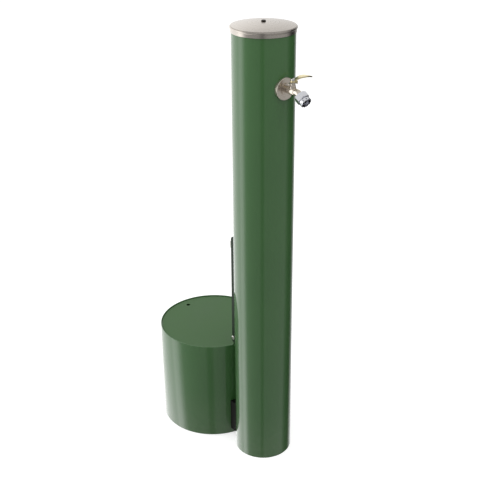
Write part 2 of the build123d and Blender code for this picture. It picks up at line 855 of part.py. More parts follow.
# Inlet fitting: supply thread below, hexagon, and the lower end of the riser above
inlet_hex_bottom = inlet_height + inlet_thread_length
inlet_hex_top = inlet_hex_bottom + inlet_hex_thickness
inlet_top = inlet_hex_top + thread_length
riser_foot = inlet_top - socket_depth
with BuildPart() as inlet_fitting:
    with BuildSketch(Plane.XY.offset(inlet_height)):
        Circle(nipple_diameter / 2)
    extrude(amount=inlet_thread_length)
    with BuildSketch(Plane.XY.offset(inlet_hex_bottom)):
        RegularPolygon(inlet_across_flats / 2, hex_sides, major_radius=False)
    extrude(amount=inlet_hex_thickness)
    with BuildSketch(Plane.XY.offset(inlet_hex_top)):
        Circle(compression_thread_diameter / 2)
    extrude(amount=thread_length)
    with BuildSketch(Plane.XY.offset(inlet_height)):
        Circle(pipe_bore)
    extrude(amount=inlet_top, mode=Mode.SUBTRACT)
    with BuildSketch(Plane.XY.offset(riser_foot)):
        Circle(pipe_socket)
    extrude(amount=socket_depth, mode=Mode.SUBTRACT)
inlet_fitting.part.label = "inlet_fitting"
export_step(inlet_fitting.part, "parts/inlet_fitting.step")

# Riser pipe, from the inlet fitting on the column's axis up to the elbow behind the tap
riser_bend = riser_foot + riser_straight_foot
with BuildPart() as supply_riser:
    with BuildLine(Plane.YZ) as riser_path:
        FilletPolyline(
            (0, riser_foot),
            (0, riser_bend),
            (-elbow_axis_reach, riser_bend + riser_offset_height),
            (-elbow_axis_reach, tap_height - elbow_end + socket_depth),
            radius=riser_bend_radius,
        )
    with BuildSketch(Plane.XY.offset(riser_foot)):
        Circle(riser_diameter / 2)
        Circle(pipe_bore, mode=Mode.SUBTRACT)
    sweep(path=riser_path.line)
supply_riser.part.label = "supply_riser"
export_step(supply_riser.part, "parts/supply_riser.step")


def compression_nut(seat):
    """A hexagon nut over a pipe thread, closing in on the pipe past the thread's end."""
    with BuildPart() as nut:
        with BuildSketch(seat):
            RegularPolygon(compression_across_flats / 2, hex_sides, major_radius=False)
        extrude(amount=compression_nut_length)
        with BuildSketch(seat):
            Circle(compression_thread_diameter / 2 + running_fit)
        extrude(amount=thread_length, mode=Mode.SUBTRACT)
        with BuildSketch(seat):
            Circle(pipe_socket)
        extrude(amount=compression_nut_length, mode=Mode.SUBTRACT)
    return nut.part


upper_nut_plane = Plane(
    origin=(0, -elbow_axis_reach, tap_height - elbow_drop), x_dir=(1, 0, 0), z_dir=(0, 0, -1)
)
with BuildPart() as riser_nuts:
    add(compression_nut(Plane.XY.offset(inlet_hex_top)))
    add(compression_nut(upper_nut_plane))
riser_nuts.part.label = "riser_nuts"
export_step(riser_nuts.part, "parts/riser_nuts.step")

# Pipe clips between the riser and the column's inner wall
with BuildPart() as riser_clips:
    for share in clip_height_shares:
        with BuildSketch(Plane.XY.offset(column_height * share)):
            with Locations((0, -elbow_axis_reach)):
                Circle(pipe_socket + clip_wall)
            with Locations((0, -(elbow_axis_reach + column_inner_radius) / 2)):
                Rectangle(clip_arm_width, column_inner_radius - elbow_axis_reach)
            with Locations((0, -column_inner_radius)):
                Rectangle(clip_foot_width, clip_foot_depth * 2)
            Circle(column_inner_radius, mode=Mode.INTERSECT)
            with Locations((0, -elbow_axis_reach)):
                Circle(pipe_socket, mode=Mode.SUBTRACT)
        extrude(amount=clip_width)
riser_clips.part.label = "riser_clips"
export_step(riser_clips.part, "parts/riser_clips.step")

# Hose drum shell, bolted through its wall
tie_hole_radius = tie_bolt_diameter / 2 + seat_play
with BuildPart() as drum_shell:
    with BuildSketch(drum_plane.offset(drum_foot_gap)):
        Circle(drum_radius)
        Circle(drum_inner_radius, mode=Mode.SUBTRACT)
    extrude(amount=drum_height - drum_foot_gap)
    with Locations([before(drum_y - drum_radius, height) for height in tie_heights]):
        Hole(tie_hole_radius, depth=drum_wall + slip_fit)
drum_shell.part.label = "drum_shell"
export_step(drum_shell.part, "parts/drum_shell.step")

# Drum base with drain holes and the feet's screw holes
foot_hole_radius = foot_bolt_diameter / 2 + seat_play
with BuildPart() as drum_base:
    with BuildSketch(drum_plane.offset(foot_height)):
        Circle(drum_inner_radius)
        with PolarLocations(drain_circle_radius, drain_count):
            Circle(drain_diameter / 2, mode=Mode.SUBTRACT)
        with PolarLocations(foot_circle_radius, foot_count, start_angle=first_hole_angle):
            Circle(foot_hole_radius, mode=Mode.SUBTRACT)
    extrude(amount=base_thickness)
drum_base.part.label = "drum_base"
export_step(drum_base.part, "parts/drum_base.step")

# Ledge ring that the closed lid lies over
with BuildPart() as lid_ledge:
    add(
        ring(
            drum_plane.offset(lid_bottom - slip_fit - ledge_thickness),
            drum_inner_radius,
            drum_inner_radius - ledge_width,
            ledge_thickness,
        )
    )
lid_ledge.part.label = "lid_ledge"
export_step(lid_ledge.part, "parts/lid_ledge.step")

# Rubber feet, wider at the top, with a recess for the screw's head
standing = (Align.CENTER, Align.CENTER, Align.MIN)
with BuildPart(drum_plane) as drum_feet:
    with PolarLocations(foot_circle_radius, foot_count, start_angle=first_hole_angle):
        Cone(foot_diameter / 2 * foot_sole_share, foot_diameter / 2, foot_height, align=standing)
        Cylinder(foot_recess_diameter / 2, foot_recess_depth, align=standing, mode=Mode.SUBTRACT)
        Cylinder(foot_hole_radius, foot_height, align=standing, mode=Mode.SUBTRACT)
drum_feet.part.label = "drum_feet"
export_step(drum_feet.part, "parts/drum_feet.step")

# Screws up through the feet, and the nuts on the drum's base
foot_nut_seat = foot_height + base_thickness
with BuildPart(drum_plane) as foot_bolts:
    with PolarLocations(foot_circle_radius, foot_count, start_angle=first_hole_angle):
        add(
            button_screw(
                Plane(origin=(0, 0, foot_recess_depth), x_dir=(1, 0, 0), z_dir=(0, 0, -1)),
                foot_bolt_diameter,
                foot_nut_seat + foot_nut_thickness + bolt_end - foot_recess_depth,
                foot_bolt_head_diameter,
                foot_bolt_head_height,
                foot_bolt_key,
            )
        )
foot_bolts.part.label = "foot_bolts"
export_step(foot_bolts.part, "parts/foot_bolts.step")

with BuildPart(drum_plane) as foot_nuts:
    with PolarLocations(foot_circle_radius, foot_count, start_angle=first_hole_angle):
        add(
            hex_nut(
                Plane.XY.offset(foot_nut_seat),
                foot_nut_across_flats,
                foot_nut_thickness,
                foot_bolt_diameter / 2 + running_fit,
            )
        )
foot_nuts.part.label = "foot_nuts"
export_step(foot_nuts.part, "parts/foot_nuts.step")

# Spacer block, hollowed to the column on one side and to the drum on the other
spacer_half = spacer_width / 2
spacer_front = sqrt(column_radius**2 - spacer_half**2)
spacer_back = drum_y - sqrt(drum_radius**2 - spacer_half**2)
with BuildPart() as drum_spacer:
    with BuildSketch(Plane.XY.offset(spacer_bottom)):
        with Locations((0, (spacer_front + spacer_back) / 2)):
            Rectangle(spacer_width, spacer_back - spacer_front)
        Circle(column_radius + seat_play, mode=Mode.SUBTRACT)
        with Locations((0, drum_y)):
            Circle(drum_radius + seat_play, mode=Mode.SUBTRACT)
    extrude(amount=spacer_height)
    with Locations([behind(spacer_back, height) for height in tie_heights]):
        Hole(tie_hole_radius, depth=spacer_back - spacer_front)
drum_spacer.part.label = "drum_spacer"
export_step(drum_spacer.part, "parts/drum_spacer.step")

# Bolts from inside the drum, washers under their heads, and weld nuts inside the column
washer_seat = drum_y - drum_inner_radius + sagitta(drum_inner_radius, tie_washer_diameter / 2)
tie_head_seat = washer_seat + tie_washer_thickness
tie_nut_seat = column_inner_radius - sagitta(column_inner_radius, tie_across_flats / sqrt(3))
tie_length = tie_head_seat - tie_nut_seat + tie_nut_thickness + bolt_end
with BuildPart() as tie_bolts:
    for height in tie_heights:
        with BuildSketch(behind(tie_head_seat, height)):
            RegularPolygon(tie_across_flats / 2, hex_sides, major_radius=False)
        extrude(amount=tie_head_height)
        with BuildSketch(behind(tie_head_seat, height)):
            Circle(tie_bolt_diameter / 2)
        extrude(amount=-tie_length)
tie_bolts.part.label = "tie_bolts"
export_step(tie_bolts.part, "parts/tie_bolts.step")

with BuildPart() as tie_washers:
    for height in tie_heights:
        add(
            ring(
                behind(washer_seat, height),
                tie_washer_diameter / 2,
                tie_bolt_diameter / 2 + running_fit,
                tie_washer_thickness,
            )
        )
tie_washers.part.label = "tie_washers"
export_step(tie_washers.part, "parts/tie_washers.step")

with BuildPart() as tie_nuts:
    for height in tie_heights:
        add(
            hex_nut(
                before(tie_nut_seat, height),
                tie_across_flats,
                tie_nut_thickness,
                tie_bolt_diameter / 2 + running_fit,
            )
        )
tie_nuts.part.label = "tie_nuts"
export_step(tie_nuts.part, "parts/tie_nuts.step")

# Rail: an upright channel on the column's back, its open side to the drum
rail_inner_width = rail_width - rail_sheet - rail_sheet
rail_web_back = column_radius + rail_sheet
pin_hole_radius = hinge_pin_diameter / 2 + running_fit
with BuildPart() as rail:
    with BuildSketch(Plane.XY.offset(rail_bottom)):
        with Locations((0, column_radius + rail_depth / 2)):
            Rectangle(rail_width, rail_depth)
        with Locations((0, rail_web_back + rail_depth / 2)):
            Rectangle(rail_inner_width, rail_depth, mode=Mode.SUBTRACT)
    extrude(amount=rail_top - rail_bottom)
    fillet(rail.edges().filter_by(Axis.Z).group_by(Axis.Y)[0], rail_sheet)
    fillet(rail.edges().filter_by(Axis.X).group_by(Axis.Z)[-1].group_by(Axis.Y)[-1], rail_top_radius)
    fillet(rail.edges().filter_by(Axis.X).group_by(Axis.Z)[0].group_by(Axis.Y)[-1], rail_foot_radius)
    with Locations([behind(rail_web_back, height) for height in rail_screw_heights]):
        Hole(rail_screw_diameter / 2 + seat_play, depth=rail_sheet)
    with BuildSketch(pin_plane):
        Circle(pin_hole_radius)
    extrude(amount=-rail_width, mode=Mode.SUBTRACT)
rail.part.label = "rail"
export_step(rail.part, "parts/rail.step")

rail_nut_seat = column_inner_radius - sagitta(column_inner_radius, rail_nut_across_flats / sqrt(3))
rail_screw_length = rail_web_back - rail_nut_seat + rail_nut_thickness + bolt_end
with BuildPart() as rail_screws:
    for height in rail_screw_heights:
        add(
            button_screw(
                behind(rail_web_back, height),
                rail_screw_diameter,
                rail_screw_length,
                rail_screw_head_diameter,
                rail_screw_head_height,
                rail_screw_key,
            )
        )
rail_screws.part.label = "rail_screws"
export_step(rail_screws.part, "parts/rail_screws.step")

with BuildPart() as rail_nuts:
    for height in rail_screw_heights:
        add(
            hex_nut(
                before(rail_nut_seat, height),
                rail_nut_across_flats,
                rail_nut_thickness,
                rail_screw_diameter / 2 + running_fit,
            )
        )
rail_nuts.part.label = "rail_nuts"
export_step(rail_nuts.part, "parts/rail_nuts.step")

# Soft block between the rail's sides that the open lid leans on
rest_depth = rail_back + rest_reach - rail_web_back
with BuildPart() as lid_rest:
    with BuildSketch(Plane.XY.offset(rail_top - rest_drop)):
        with Locations((0, rail_web_back + rest_depth / 2)):
            Rectangle(rail_inner_width, rest_depth)
    extrude(amount=rest_height)
    fillet(lid_rest.faces().sort_by(Axis.Y)[-1].edges(), rest_edge_radius)
lid_rest.part.label = "lid_rest"
export_step(lid_rest.part, "parts/lid_rest.step")

# Hinge pin through the rail's sides, and its nut
with BuildPart() as hinge_pin:
    add(
        button_screw(
            pin_plane,
            hinge_pin_diameter,
            rail_width + hinge_nut_thickness + bolt_end,
            hinge_head_diameter,
            hinge_head_height,
            hinge_head_key,
        )
    )
hinge_pin.part.label = "hinge_pin"
export_step(hinge_pin.part, "parts/hinge_pin.step")

with BuildPart() as hinge_nut:
    add(
        hex_nut(
            pin_plane.offset(-rail_width - hinge_nut_thickness),
            hinge_nut_across_flats,
            hinge_nut_thickness,
            pin_hole_radius,
        )
    )
hinge_nut.part.label = "hinge_nut"
export_step(hinge_nut.part, "parts/hinge_nut.step")

# Sleeve that the lid turns on
sleeve_length = rail_inner_width - hinge_side_play - hinge_side_play
sleeve_plane = pin_plane.offset(-(rail_width + sleeve_length) / 2)
with BuildPart() as lid_sleeve:
    add(ring(sleeve_plane, hinge_sleeve_radius, pin_hole_radius, sleeve_length))
lid_sleeve.part.label = "lid_sleeve"
export_step(lid_sleeve.part, "parts/lid_sleeve.step")

# Lid plate with its finger hole, and its tab bent up to the sleeve
tab_back = hinge_y + hinge_sleeve_radius
tab_front = tab_back - lid_thickness
with BuildPart() as lid_plate:
    with BuildSketch(drum_plane.offset(lid_bottom)):
        Circle(lid_radius)
        with Locations((0, lid_radius - lid_hole_inset)):
            Circle(lid_hole_diameter / 2, mode=Mode.SUBTRACT)
        with Locations((0, tab_front - drum_y - rail_depth / 2)):
            Rectangle(sleeve_length + lid_tab_relief, rail_depth, mode=Mode.SUBTRACT)
    extrude(amount=lid_thickness)
    with BuildSketch(Plane.XY.offset(lid_bottom)):
        with Locations((0, (tab_front + tab_back) / 2)):
            Rectangle(sleeve_length, lid_thickness)
    extrude(amount=hinge_height - lid_bottom)
    with BuildSketch(sleeve_plane):
        Circle(hinge_sleeve_radius)
    extrude(amount=sleeve_length, mode=Mode.SUBTRACT)
lid_plate.part.label = "lid_plate"
export_step(lid_plate.part, "parts/lid_plate.step")
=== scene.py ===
"""Dresses the garden standpipe: coated column, lever tap, lidded hose drum and their fittings."""

import json
import logging
import math
from dataclasses import dataclass
from enum import Enum

import bmesh
import bpy
from mathutils import Matrix, Vector

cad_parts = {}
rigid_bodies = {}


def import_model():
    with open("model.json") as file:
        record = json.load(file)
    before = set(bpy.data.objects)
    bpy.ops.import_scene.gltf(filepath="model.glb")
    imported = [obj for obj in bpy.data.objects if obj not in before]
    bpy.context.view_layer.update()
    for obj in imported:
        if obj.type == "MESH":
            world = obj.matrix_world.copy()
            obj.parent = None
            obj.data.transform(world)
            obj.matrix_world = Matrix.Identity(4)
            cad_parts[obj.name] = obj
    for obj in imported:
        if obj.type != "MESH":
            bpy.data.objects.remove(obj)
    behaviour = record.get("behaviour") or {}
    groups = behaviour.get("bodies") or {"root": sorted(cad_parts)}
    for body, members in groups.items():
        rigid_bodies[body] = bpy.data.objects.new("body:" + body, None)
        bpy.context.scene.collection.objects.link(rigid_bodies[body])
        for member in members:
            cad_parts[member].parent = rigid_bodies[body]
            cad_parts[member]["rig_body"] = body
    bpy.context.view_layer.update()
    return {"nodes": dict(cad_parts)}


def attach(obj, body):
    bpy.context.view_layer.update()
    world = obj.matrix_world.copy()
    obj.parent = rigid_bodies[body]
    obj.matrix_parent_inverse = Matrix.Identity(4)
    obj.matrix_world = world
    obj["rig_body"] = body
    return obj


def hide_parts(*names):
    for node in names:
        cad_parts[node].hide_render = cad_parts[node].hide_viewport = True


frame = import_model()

LOG = logging.getLogger("standpipe")

MM = 0.001
SHARP_EDGE = math.radians(32)
FLAT_ANGLE = math.radians(0.4)
MERGE_REACH = 0.000002
BROKEN_EDGE_STEPS = 2
FLAT_FACE_WEIGHT = 100
SRGB_TOE_END = 0.04045
SRGB_TOE_SLOPE = 12.92
SRGB_OFFSET = 0.055
SRGB_POWER = 2.4
Point = tuple[float, float]
Place = tuple[float, float, float]
Colour = tuple[float, float, float]
Panel = tuple[str, Place, Place, float, float, float]


def srgb(red: int, green: int, blue: int) -> Colour:
    """Turns an 8-bit colour into the linear values that the shader takes.

    Args:
        red: Red, 0 to 255.
        green: Green, 0 to 255.
        blue: Blue, 0 to 255.

    Returns:
        The same colour in linear light.
    """

    def one(level: int) -> float:
        """Turns one channel into linear light."""
        part = level / 255
        if part <= SRGB_TOE_END:
            return part / SRGB_TOE_SLOPE
        return ((part + SRGB_OFFSET) / (1 + SRGB_OFFSET)) ** SRGB_POWER

    return one(red), one(green), one(blue)


class Direction(Enum):
    """Which way a brushed finish runs."""

    ROUND = "round"
    UPRIGHT = "upright"
    ALONG = "along"


# Shader groups


def socket_in(tree: bpy.types.NodeTree, name: str, value: float) -> None:
    """Adds a named float input with its usual value to a node group.

    Args:
        tree: The group.
        name: The input's name.
        value: The value that it starts with.
    """
    made = tree.interface.new_socket(name=name, in_out="INPUT", socket_type="NodeSocketFloat")
    made.default_value = value


@dataclass
class ShaderGroups:
    """The effects that several finishes share, each built once, in metres."""

    ripple_scale: float = 420.0
    ripple_strength: float = 0.1
    ripple_depth: float = 0.0004
    ripple_detail: float = 2.0
    ripple_roughness: float = 0.4
    broad_scale: float = 9.0
    broad_detail: float = 3.0
    fine_scale: float = 700.0
    fine_detail: float = 1.0
    fine_share: float = 0.35
    brush_lines: float = 1600.0
    brush_detail: float = 2.0
    dust_height: float = 0.12
    dust_amount: float = 0.35
    dust_scale: float = 60.0
    dust_detail: float = 5.0

    def __post_init__(self) -> None:
        """Builds the groups for ripple, uneven tone, brush lines and dust."""
        self.peel = self._peel()
        self.speckle = self._speckle()
        self.brushed = {way: self._brushed(way) for way in Direction}
        self.dust = self._dust()

    def _start(self, name: str, out: str, kind: str) -> tuple:
        """Starts a group that reads Object coordinates.

        Args:
            name: The group's name.
            out: Its output's name.
            kind: Its output's socket type.

        Returns:
            The tree, its input node, its output node and the coordinate socket.
        """
        tree = bpy.data.node_groups.new(name, "ShaderNodeTree")
        tree.interface.new_socket(name=out, in_out="OUTPUT", socket_type=kind)
        entry = tree.nodes.new("NodeGroupInput")
        leave = tree.nodes.new("NodeGroupOutput")
        place = tree.nodes.new("ShaderNodeTexCoord")
        return tree, entry, leave, place.outputs["Object"]

    def _peel(self) -> bpy.types.NodeTree:
        """Builds the orange-peel ripple of a baked powder coat.

        Returns:
            A group that puts out a normal.
        """
        tree, entry, leave, place = self._start("Coat ripple", "Normal", "NodeSocketVector")
        socket_in(tree, "Scale", self.ripple_scale)
        socket_in(tree, "Strength", self.ripple_strength)
        noise = tree.nodes.new("ShaderNodeTexNoise")
        noise.inputs["Detail"].default_value = self.ripple_detail
        noise.inputs["Roughness"].default_value = self.ripple_roughness
        bump = tree.nodes.new("ShaderNodeBump")
        bump.inputs["Distance"].default_value = self.ripple_depth
        links = tree.links
        links.new(place, noise.inputs["Vector"])
        links.new(entry.outputs["Scale"], noise.inputs["Scale"])
        links.new(entry.outputs["Strength"], bump.inputs["Strength"])
        links.new(noise.outputs["Fac"], bump.inputs["Height"])
        links.new(bump.outputs["Normal"], leave.inputs["Normal"])
        return tree

    def _speckle(self) -> bpy.types.NodeTree:
        """Builds an uneven tone, from broad clouds and a fine grain.

        Returns:
            A group that puts out a value round 0.5.
        """
        tree, entry, leave, place = self._start("Uneven tone", "Value", "NodeSocketFloat")
        socket_in(tree, "Broad", self.broad_scale)
        socket_in(tree, "Fine", self.fine_scale)
        broad = tree.nodes.new("ShaderNodeTexNoise")
        broad.inputs["Detail"].default_value = self.broad_detail
        fine = tree.nodes.new("ShaderNodeTexNoise")
        fine.inputs["Detail"].default_value = self.fine_detail
        mix = tree.nodes.new("ShaderNodeMix")
        mix.inputs["Factor"].default_value = self.fine_share
        links = tree.links
        for noise, name in ((broad, "Broad"), (fine, "Fine")):
            links.new(place, noise.inputs["Vector"])
            links.new(entry.outputs[name], noise.inputs["Scale"])
        links.new(broad.outputs["Fac"], mix.inputs["A"])
        links.new(fine.outputs["Fac"], mix.inputs["B"])
        links.new(mix.outputs["Result"], leave.inputs["Value"])
        return tree

    def _brushed(self, way: Direction) -> bpy.types.NodeTree:
        """Builds fine brush lines that run one way.

        Args:
            way: Round the vertical axis, upright, or along the lever.

        Returns:
            A group that puts out a value round 0.5.
        """
        name = f"Brush lines {way.value}"
        tree, entry, leave, place = self._start(name, "Value", "NodeSocketFloat")
        socket_in(tree, "Lines", self.brush_lines)
        noise = tree.nodes.new("ShaderNodeTexNoise")
        noise.inputs["Detail"].default_value = self.brush_detail
        links = tree.links
        split = tree.nodes.new("ShaderNodeSeparateXYZ")
        join = tree.nodes.new("ShaderNodeCombineXYZ")
        links.new(place, split.inputs["Vector"])
        if way is Direction.ROUND:
            square = tree.nodes.new("ShaderNodeVectorMath")
            square.operation = "MULTIPLY"
            square.inputs[1].default_value = (1.0, 1.0, 0.0)
            reach = tree.nodes.new("ShaderNodeVectorMath")
            reach.operation = "LENGTH"
            links.new(place, square.inputs[0])
            links.new(square.outputs["Vector"], reach.inputs[0])
            links.new(reach.outputs["Value"], join.inputs["X"])
            links.new(split.outputs["Z"], join.inputs["Y"])
        elif way is Direction.UPRIGHT:
            links.new(split.outputs["X"], join.inputs["X"])
            links.new(split.outputs["Y"], join.inputs["Y"])
        else:
            links.new(split.outputs["Y"], join.inputs["X"])
            links.new(split.outputs["Z"], join.inputs["Y"])
        links.new(join.outputs["Vector"], noise.inputs["Vector"])
        links.new(entry.outputs["Lines"], noise.inputs["Scale"])
        links.new(noise.outputs["Fac"], leave.inputs["Value"])
        return tree

    def _dust(self) -> bpy.types.NodeTree:
        """Builds a faint dust that thickens towards the ground.

        Returns:
            A group that puts out a mask.
        """
        tree, entry, leave, place = self._start("Ground dust", "Mask", "NodeSocketFloat")
        socket_in(tree, "Height", self.dust_height)
        socket_in(tree, "Amount", self.dust_amount)
        split = tree.nodes.new("ShaderNodeSeparateXYZ")
        fade = tree.nodes.new("ShaderNodeMapRange")
        fade.inputs["From Min"].default_value = 0.0
        fade.inputs["To Min"].default_value = 1.0
        fade.inputs["To Max"].default_value = 0.0
        noise = tree.nodes.new("ShaderNodeTexNoise")
        noise.inputs["Scale"].default_value = self.dust_scale
        noise.inputs["Detail"].default_value = self.dust_detail
        blend = tree.nodes.new("ShaderNodeMath")
        blend.operation = "MULTIPLY"
        amount = tree.nodes.new("ShaderNodeMath")
        amount.operation = "MULTIPLY"
        links = tree.links
        links.new(place, split.inputs["Vector"])
        links.new(split.outputs["Z"], fade.inputs["Value"])
        links.new(entry.outputs["Height"], fade.inputs["From Max"])
        links.new(place, noise.inputs["Vector"])
        links.new(fade.outputs["Result"], blend.inputs[0])
        links.new(noise.outputs["Fac"], blend.inputs[1])
        links.new(blend.outputs["Value"], amount.inputs[0])
        links.new(entry.outputs["Amount"], amount.inputs[1])
        links.new(amount.outputs["Value"], leave.inputs["Mask"])
        return tree


# Finishes


@dataclass(frozen=True)
class Finish:
    """A plain finish: one colour with an uneven tone and a fine ripple."""

    name: str
    slot: str
    dark: Colour
    light: Colour
    metallic: float = 0.0
    rough_low: float = 0.3
    rough_high: float = 0.5
    coat: float = 0.0
    coat_roughness: float = 0.1
    ior: float = 1.5
    tone_low: float = 0.35
    tone_high: float = 0.65
    broad: float = ShaderGroups.broad_scale
    fine: float = ShaderGroups.fine_scale
    ripple: float = ShaderGroups.ripple_strength
    ripple_scale: float = ShaderGroups.ripple_scale
    brush: Direction | None = None
    brush_lines: float = ShaderGroups.brush_lines
    brush_share: float = 0.7
    dust: float = 0.0
    dust_height: float = ShaderGroups.dust_height
    dust_colour: Colour = (0.33, 0.31, 0.27)

    def material(self, groups: ShaderGroups) -> bpy.types.Material:
        """Builds the material.

        Args:
            groups: The shared shader groups.

        Returns:
            The material.
        """
        made = bpy.data.materials.new(self.name)
        made.use_nodes = True
        tree = made.node_tree
        links = tree.links
        shader = tree.nodes["Principled BSDF"]
        shader.inputs["Metallic"].default_value = self.metallic
        shader.inputs["Coat Weight"].default_value = self.coat
        shader.inputs["Coat Roughness"].default_value = self.coat_roughness
        shader.inputs["IOR"].default_value = self.ior

        def group(which: bpy.types.NodeTree, **values: float) -> bpy.types.Node:
            """Places a shared group with this finish's own values.

            Args:
                which: The group.
                values: Its inputs by name.

            Returns:
                The node.
            """
            node = tree.nodes.new("ShaderNodeGroup")
            node.node_tree = which
            for name, value in values.items():
                node.inputs[name].default_value = value
            return node

        tone = group(groups.speckle, Broad=self.broad, Fine=self.fine).outputs["Value"]
        if self.brush is not None:
            lines = group(groups.brushed[self.brush], Lines=self.brush_lines)
            both = tree.nodes.new("ShaderNodeMix")
            both.inputs["Factor"].default_value = self.brush_share
            links.new(tone, both.inputs["A"])
            links.new(lines.outputs["Value"], both.inputs["B"])
            tone = both.outputs["Result"]
        spread = tree.nodes.new("ShaderNodeMapRange")
        spread.inputs["From Min"].default_value = self.tone_low
        spread.inputs["From Max"].default_value = self.tone_high
        links.new(tone, spread.inputs["Value"])
        tone = spread.outputs["Result"]

        colours = tree.nodes.new("ShaderNodeMix")
        colours.data_type = "RGBA"
        colours.inputs["A"].default_value = (*self.dark, 1.0)
        colours.inputs["B"].default_value = (*self.light, 1.0)
        links.new(tone, colours.inputs["Factor"])
        colour = colours.outputs["Result"]
        rough = tree.nodes.new("ShaderNodeMapRange")
        rough.inputs["To Min"].default_value = self.rough_low
        rough.inputs["To Max"].default_value = self.rough_high
        links.new(tone, rough.inputs["Value"])
        roughness = rough.outputs["Result"]
        if self.dust > 0:
            mask = group(groups.dust, Height=self.dust_height, Amount=self.dust).outputs["Mask"]
            dusty = tree.nodes.new("ShaderNodeMix")
            dusty.data_type = "RGBA"
            dusty.inputs["B"].default_value = (*self.dust_colour, 1.0)
            links.new(mask, dusty.inputs["Factor"])
            links.new(colour, dusty.inputs["A"])
            colour = dusty.outputs["Result"]
        links.new(colour, shader.inputs["Base Color"])
        links.new(roughness, shader.inputs["Roughness"])
        peel = group(groups.peel, Scale=self.ripple_scale, Strength=self.ripple)
        links.new(peel.outputs["Normal"], shader.inputs["Normal"])
        return made


COLUMN_GREEN = Finish(
    "Green column coat", "green_coat", srgb(46, 92, 40), srgb(51, 97, 44), rough_low=0.5,
    rough_high=0.58, coat=0.9, coat_roughness=0.04, broad=6.0, ripple=0.03, ripple_scale=520.0,
    dust=0.12,
)
DRUM_GREEN = Finish(
    "Green drum coat", "green_coat", srgb(46, 92, 40), srgb(51, 97, 44), rough_low=0.5,
    rough_high=0.58, coat=0.9, coat_roughness=0.05, broad=7.0, ripple=0.03, ripple_scale=480.0,
    dust=0.12,
)
LID_GREEN = Finish(
    "Green lid coat", "green_coat", srgb(54, 88, 47), srgb(59, 93, 51), rough_low=0.6,
    rough_high=0.7, coat=0.15, coat_roughness=0.25, ior=1.4, broad=11.0, ripple=0.03,
    ripple_scale=480.0,
)
# The rail takes the column's green coat, painted much darker: painted shade for the deep shade in
# the narrow gap between the rail and the column.
RAIL_GREEN_PAINTED_SHADE = Finish(
    "Green rail coat with painted shade", "green_coat", srgb(18, 36, 20), srgb(24, 43, 25), rough_low=0.55,
    rough_high=0.65, ior=1.4, broad=14.0, ripple=0.06,
)
SPUN_STEEL = Finish(
    "Spun stainless", "stainless", srgb(180, 173, 165), srgb(198, 191, 183), metallic=1.0,
    rough_low=0.24, rough_high=0.36, broad=14.0, ripple=0.03, brush=Direction.ROUND,
    brush_lines=2600.0,
)
PLAIN_STEEL = Finish(
    "Plain stainless", "stainless", srgb(212, 210, 206), srgb(228, 226, 222), metallic=1.0,
    rough_low=0.2, rough_high=0.32, broad=60.0, ripple=0.03,
)
DARK_STEEL = Finish(
    "Blackened steel", "dark_steel", srgb(52, 48, 44), srgb(74, 69, 63), metallic=0.9,
    rough_low=0.22, rough_high=0.34, broad=120.0, ripple=0.04,
)
SATIN_NICKEL = Finish(
    "Satin nickel", "nickel", srgb(206, 196, 184), srgb(224, 215, 203), metallic=1.0,
    rough_low=0.24, rough_high=0.34, broad=45.0, fine=1500.0, ripple=0.05, ripple_scale=900.0,
)
BRIGHT_CHROME = Finish(
    "Bright chrome", "chrome", srgb(226, 227, 232), srgb(238, 239, 243), metallic=1.0,
    rough_low=0.07, rough_high=0.14, broad=60.0, ripple=0.02, ripple_scale=900.0,
)
LEVER_BRASS = Finish(
    "Polished brass lever", "raw_brass", srgb(230, 216, 168), srgb(244, 232, 190), metallic=1.0,
    rough_low=0.26, rough_high=0.38, broad=55.0, ripple=0.04, brush=Direction.ALONG,
    brush_lines=2200.0,
)
RAW_BRASS = Finish(
    "Raw brass", "raw_brass", srgb(168, 138, 78), srgb(194, 165, 102), metallic=1.0,
    rough_low=0.28, rough_high=0.42, broad=55.0, ripple=0.08, ripple_scale=900.0,
)
BLACK_RUBBER = Finish(
    "Black rubber", "black_rubber", srgb(20, 20, 20), srgb(30, 30, 30), rough_low=0.6,
    rough_high=0.75, broad=40.0, ripple=0.2, ripple_scale=1400.0,
)
PALE_RUBBER = Finish(
    "Pale rubber", "pale_rubber", srgb(196, 198, 190), srgb(212, 213, 205), rough_low=0.55,
    rough_high=0.7, broad=40.0, ripple=0.15, ripple_scale=1200.0,
)
DARK_PLASTIC = Finish(
    "Dark moulded plastic", "dark_plastic", srgb(9, 12, 9), srgb(16, 19, 16), rough_low=0.7,
    rough_high=0.8, ior=1.3, broad=30.0, ripple=0.12, ripple_scale=1500.0, dust=0.05,
)
WHITE_PLASTIC = Finish(
    "White seal plastic", "white_plastic", srgb(224, 223, 219), srgb(236, 235, 231), rough_low=0.3,
    rough_high=0.4, broad=60.0, ripple=0.05,
)
DARK_COAT = Finish(
    "Dark socket coat", "dark_coat", srgb(40, 41, 42), srgb(52, 53, 54), rough_low=0.5,
    rough_high=0.62, broad=20.0, ripple=0.12, dust=0.35,
)
PIPE_STEEL = Finish(
    "Pipe stainless", "stainless", srgb(190, 188, 184), srgb(208, 206, 202), metallic=1.0,
    rough_low=0.24, rough_high=0.36, broad=30.0, ripple=0.03, brush=Direction.UPRIGHT,
    brush_lines=1800.0,
)


class Wardrobe:
    """Hands out each finish's material, made once."""

    def __init__(self) -> None:
        """Builds the shared groups and trees."""
        self.groups = ShaderGroups()
        self.trees = RepeatTrees()
        self.made: dict[str, bpy.types.Material] = {}

    def material(self, finish: Finish) -> bpy.types.Material:
        """Gives the finish's material.

        Args:
            finish: The finish.

        Returns:
            Its material.
        """
        if finish.name not in self.made:
            self.made[finish.name] = finish.material(self.groups)
        return self.made[finish.name]


# Making pieces


def body_of(node: str) -> str:
    """Gives the name of the body that a CAD node moves with."""
    return frame["nodes"][node]["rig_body"]


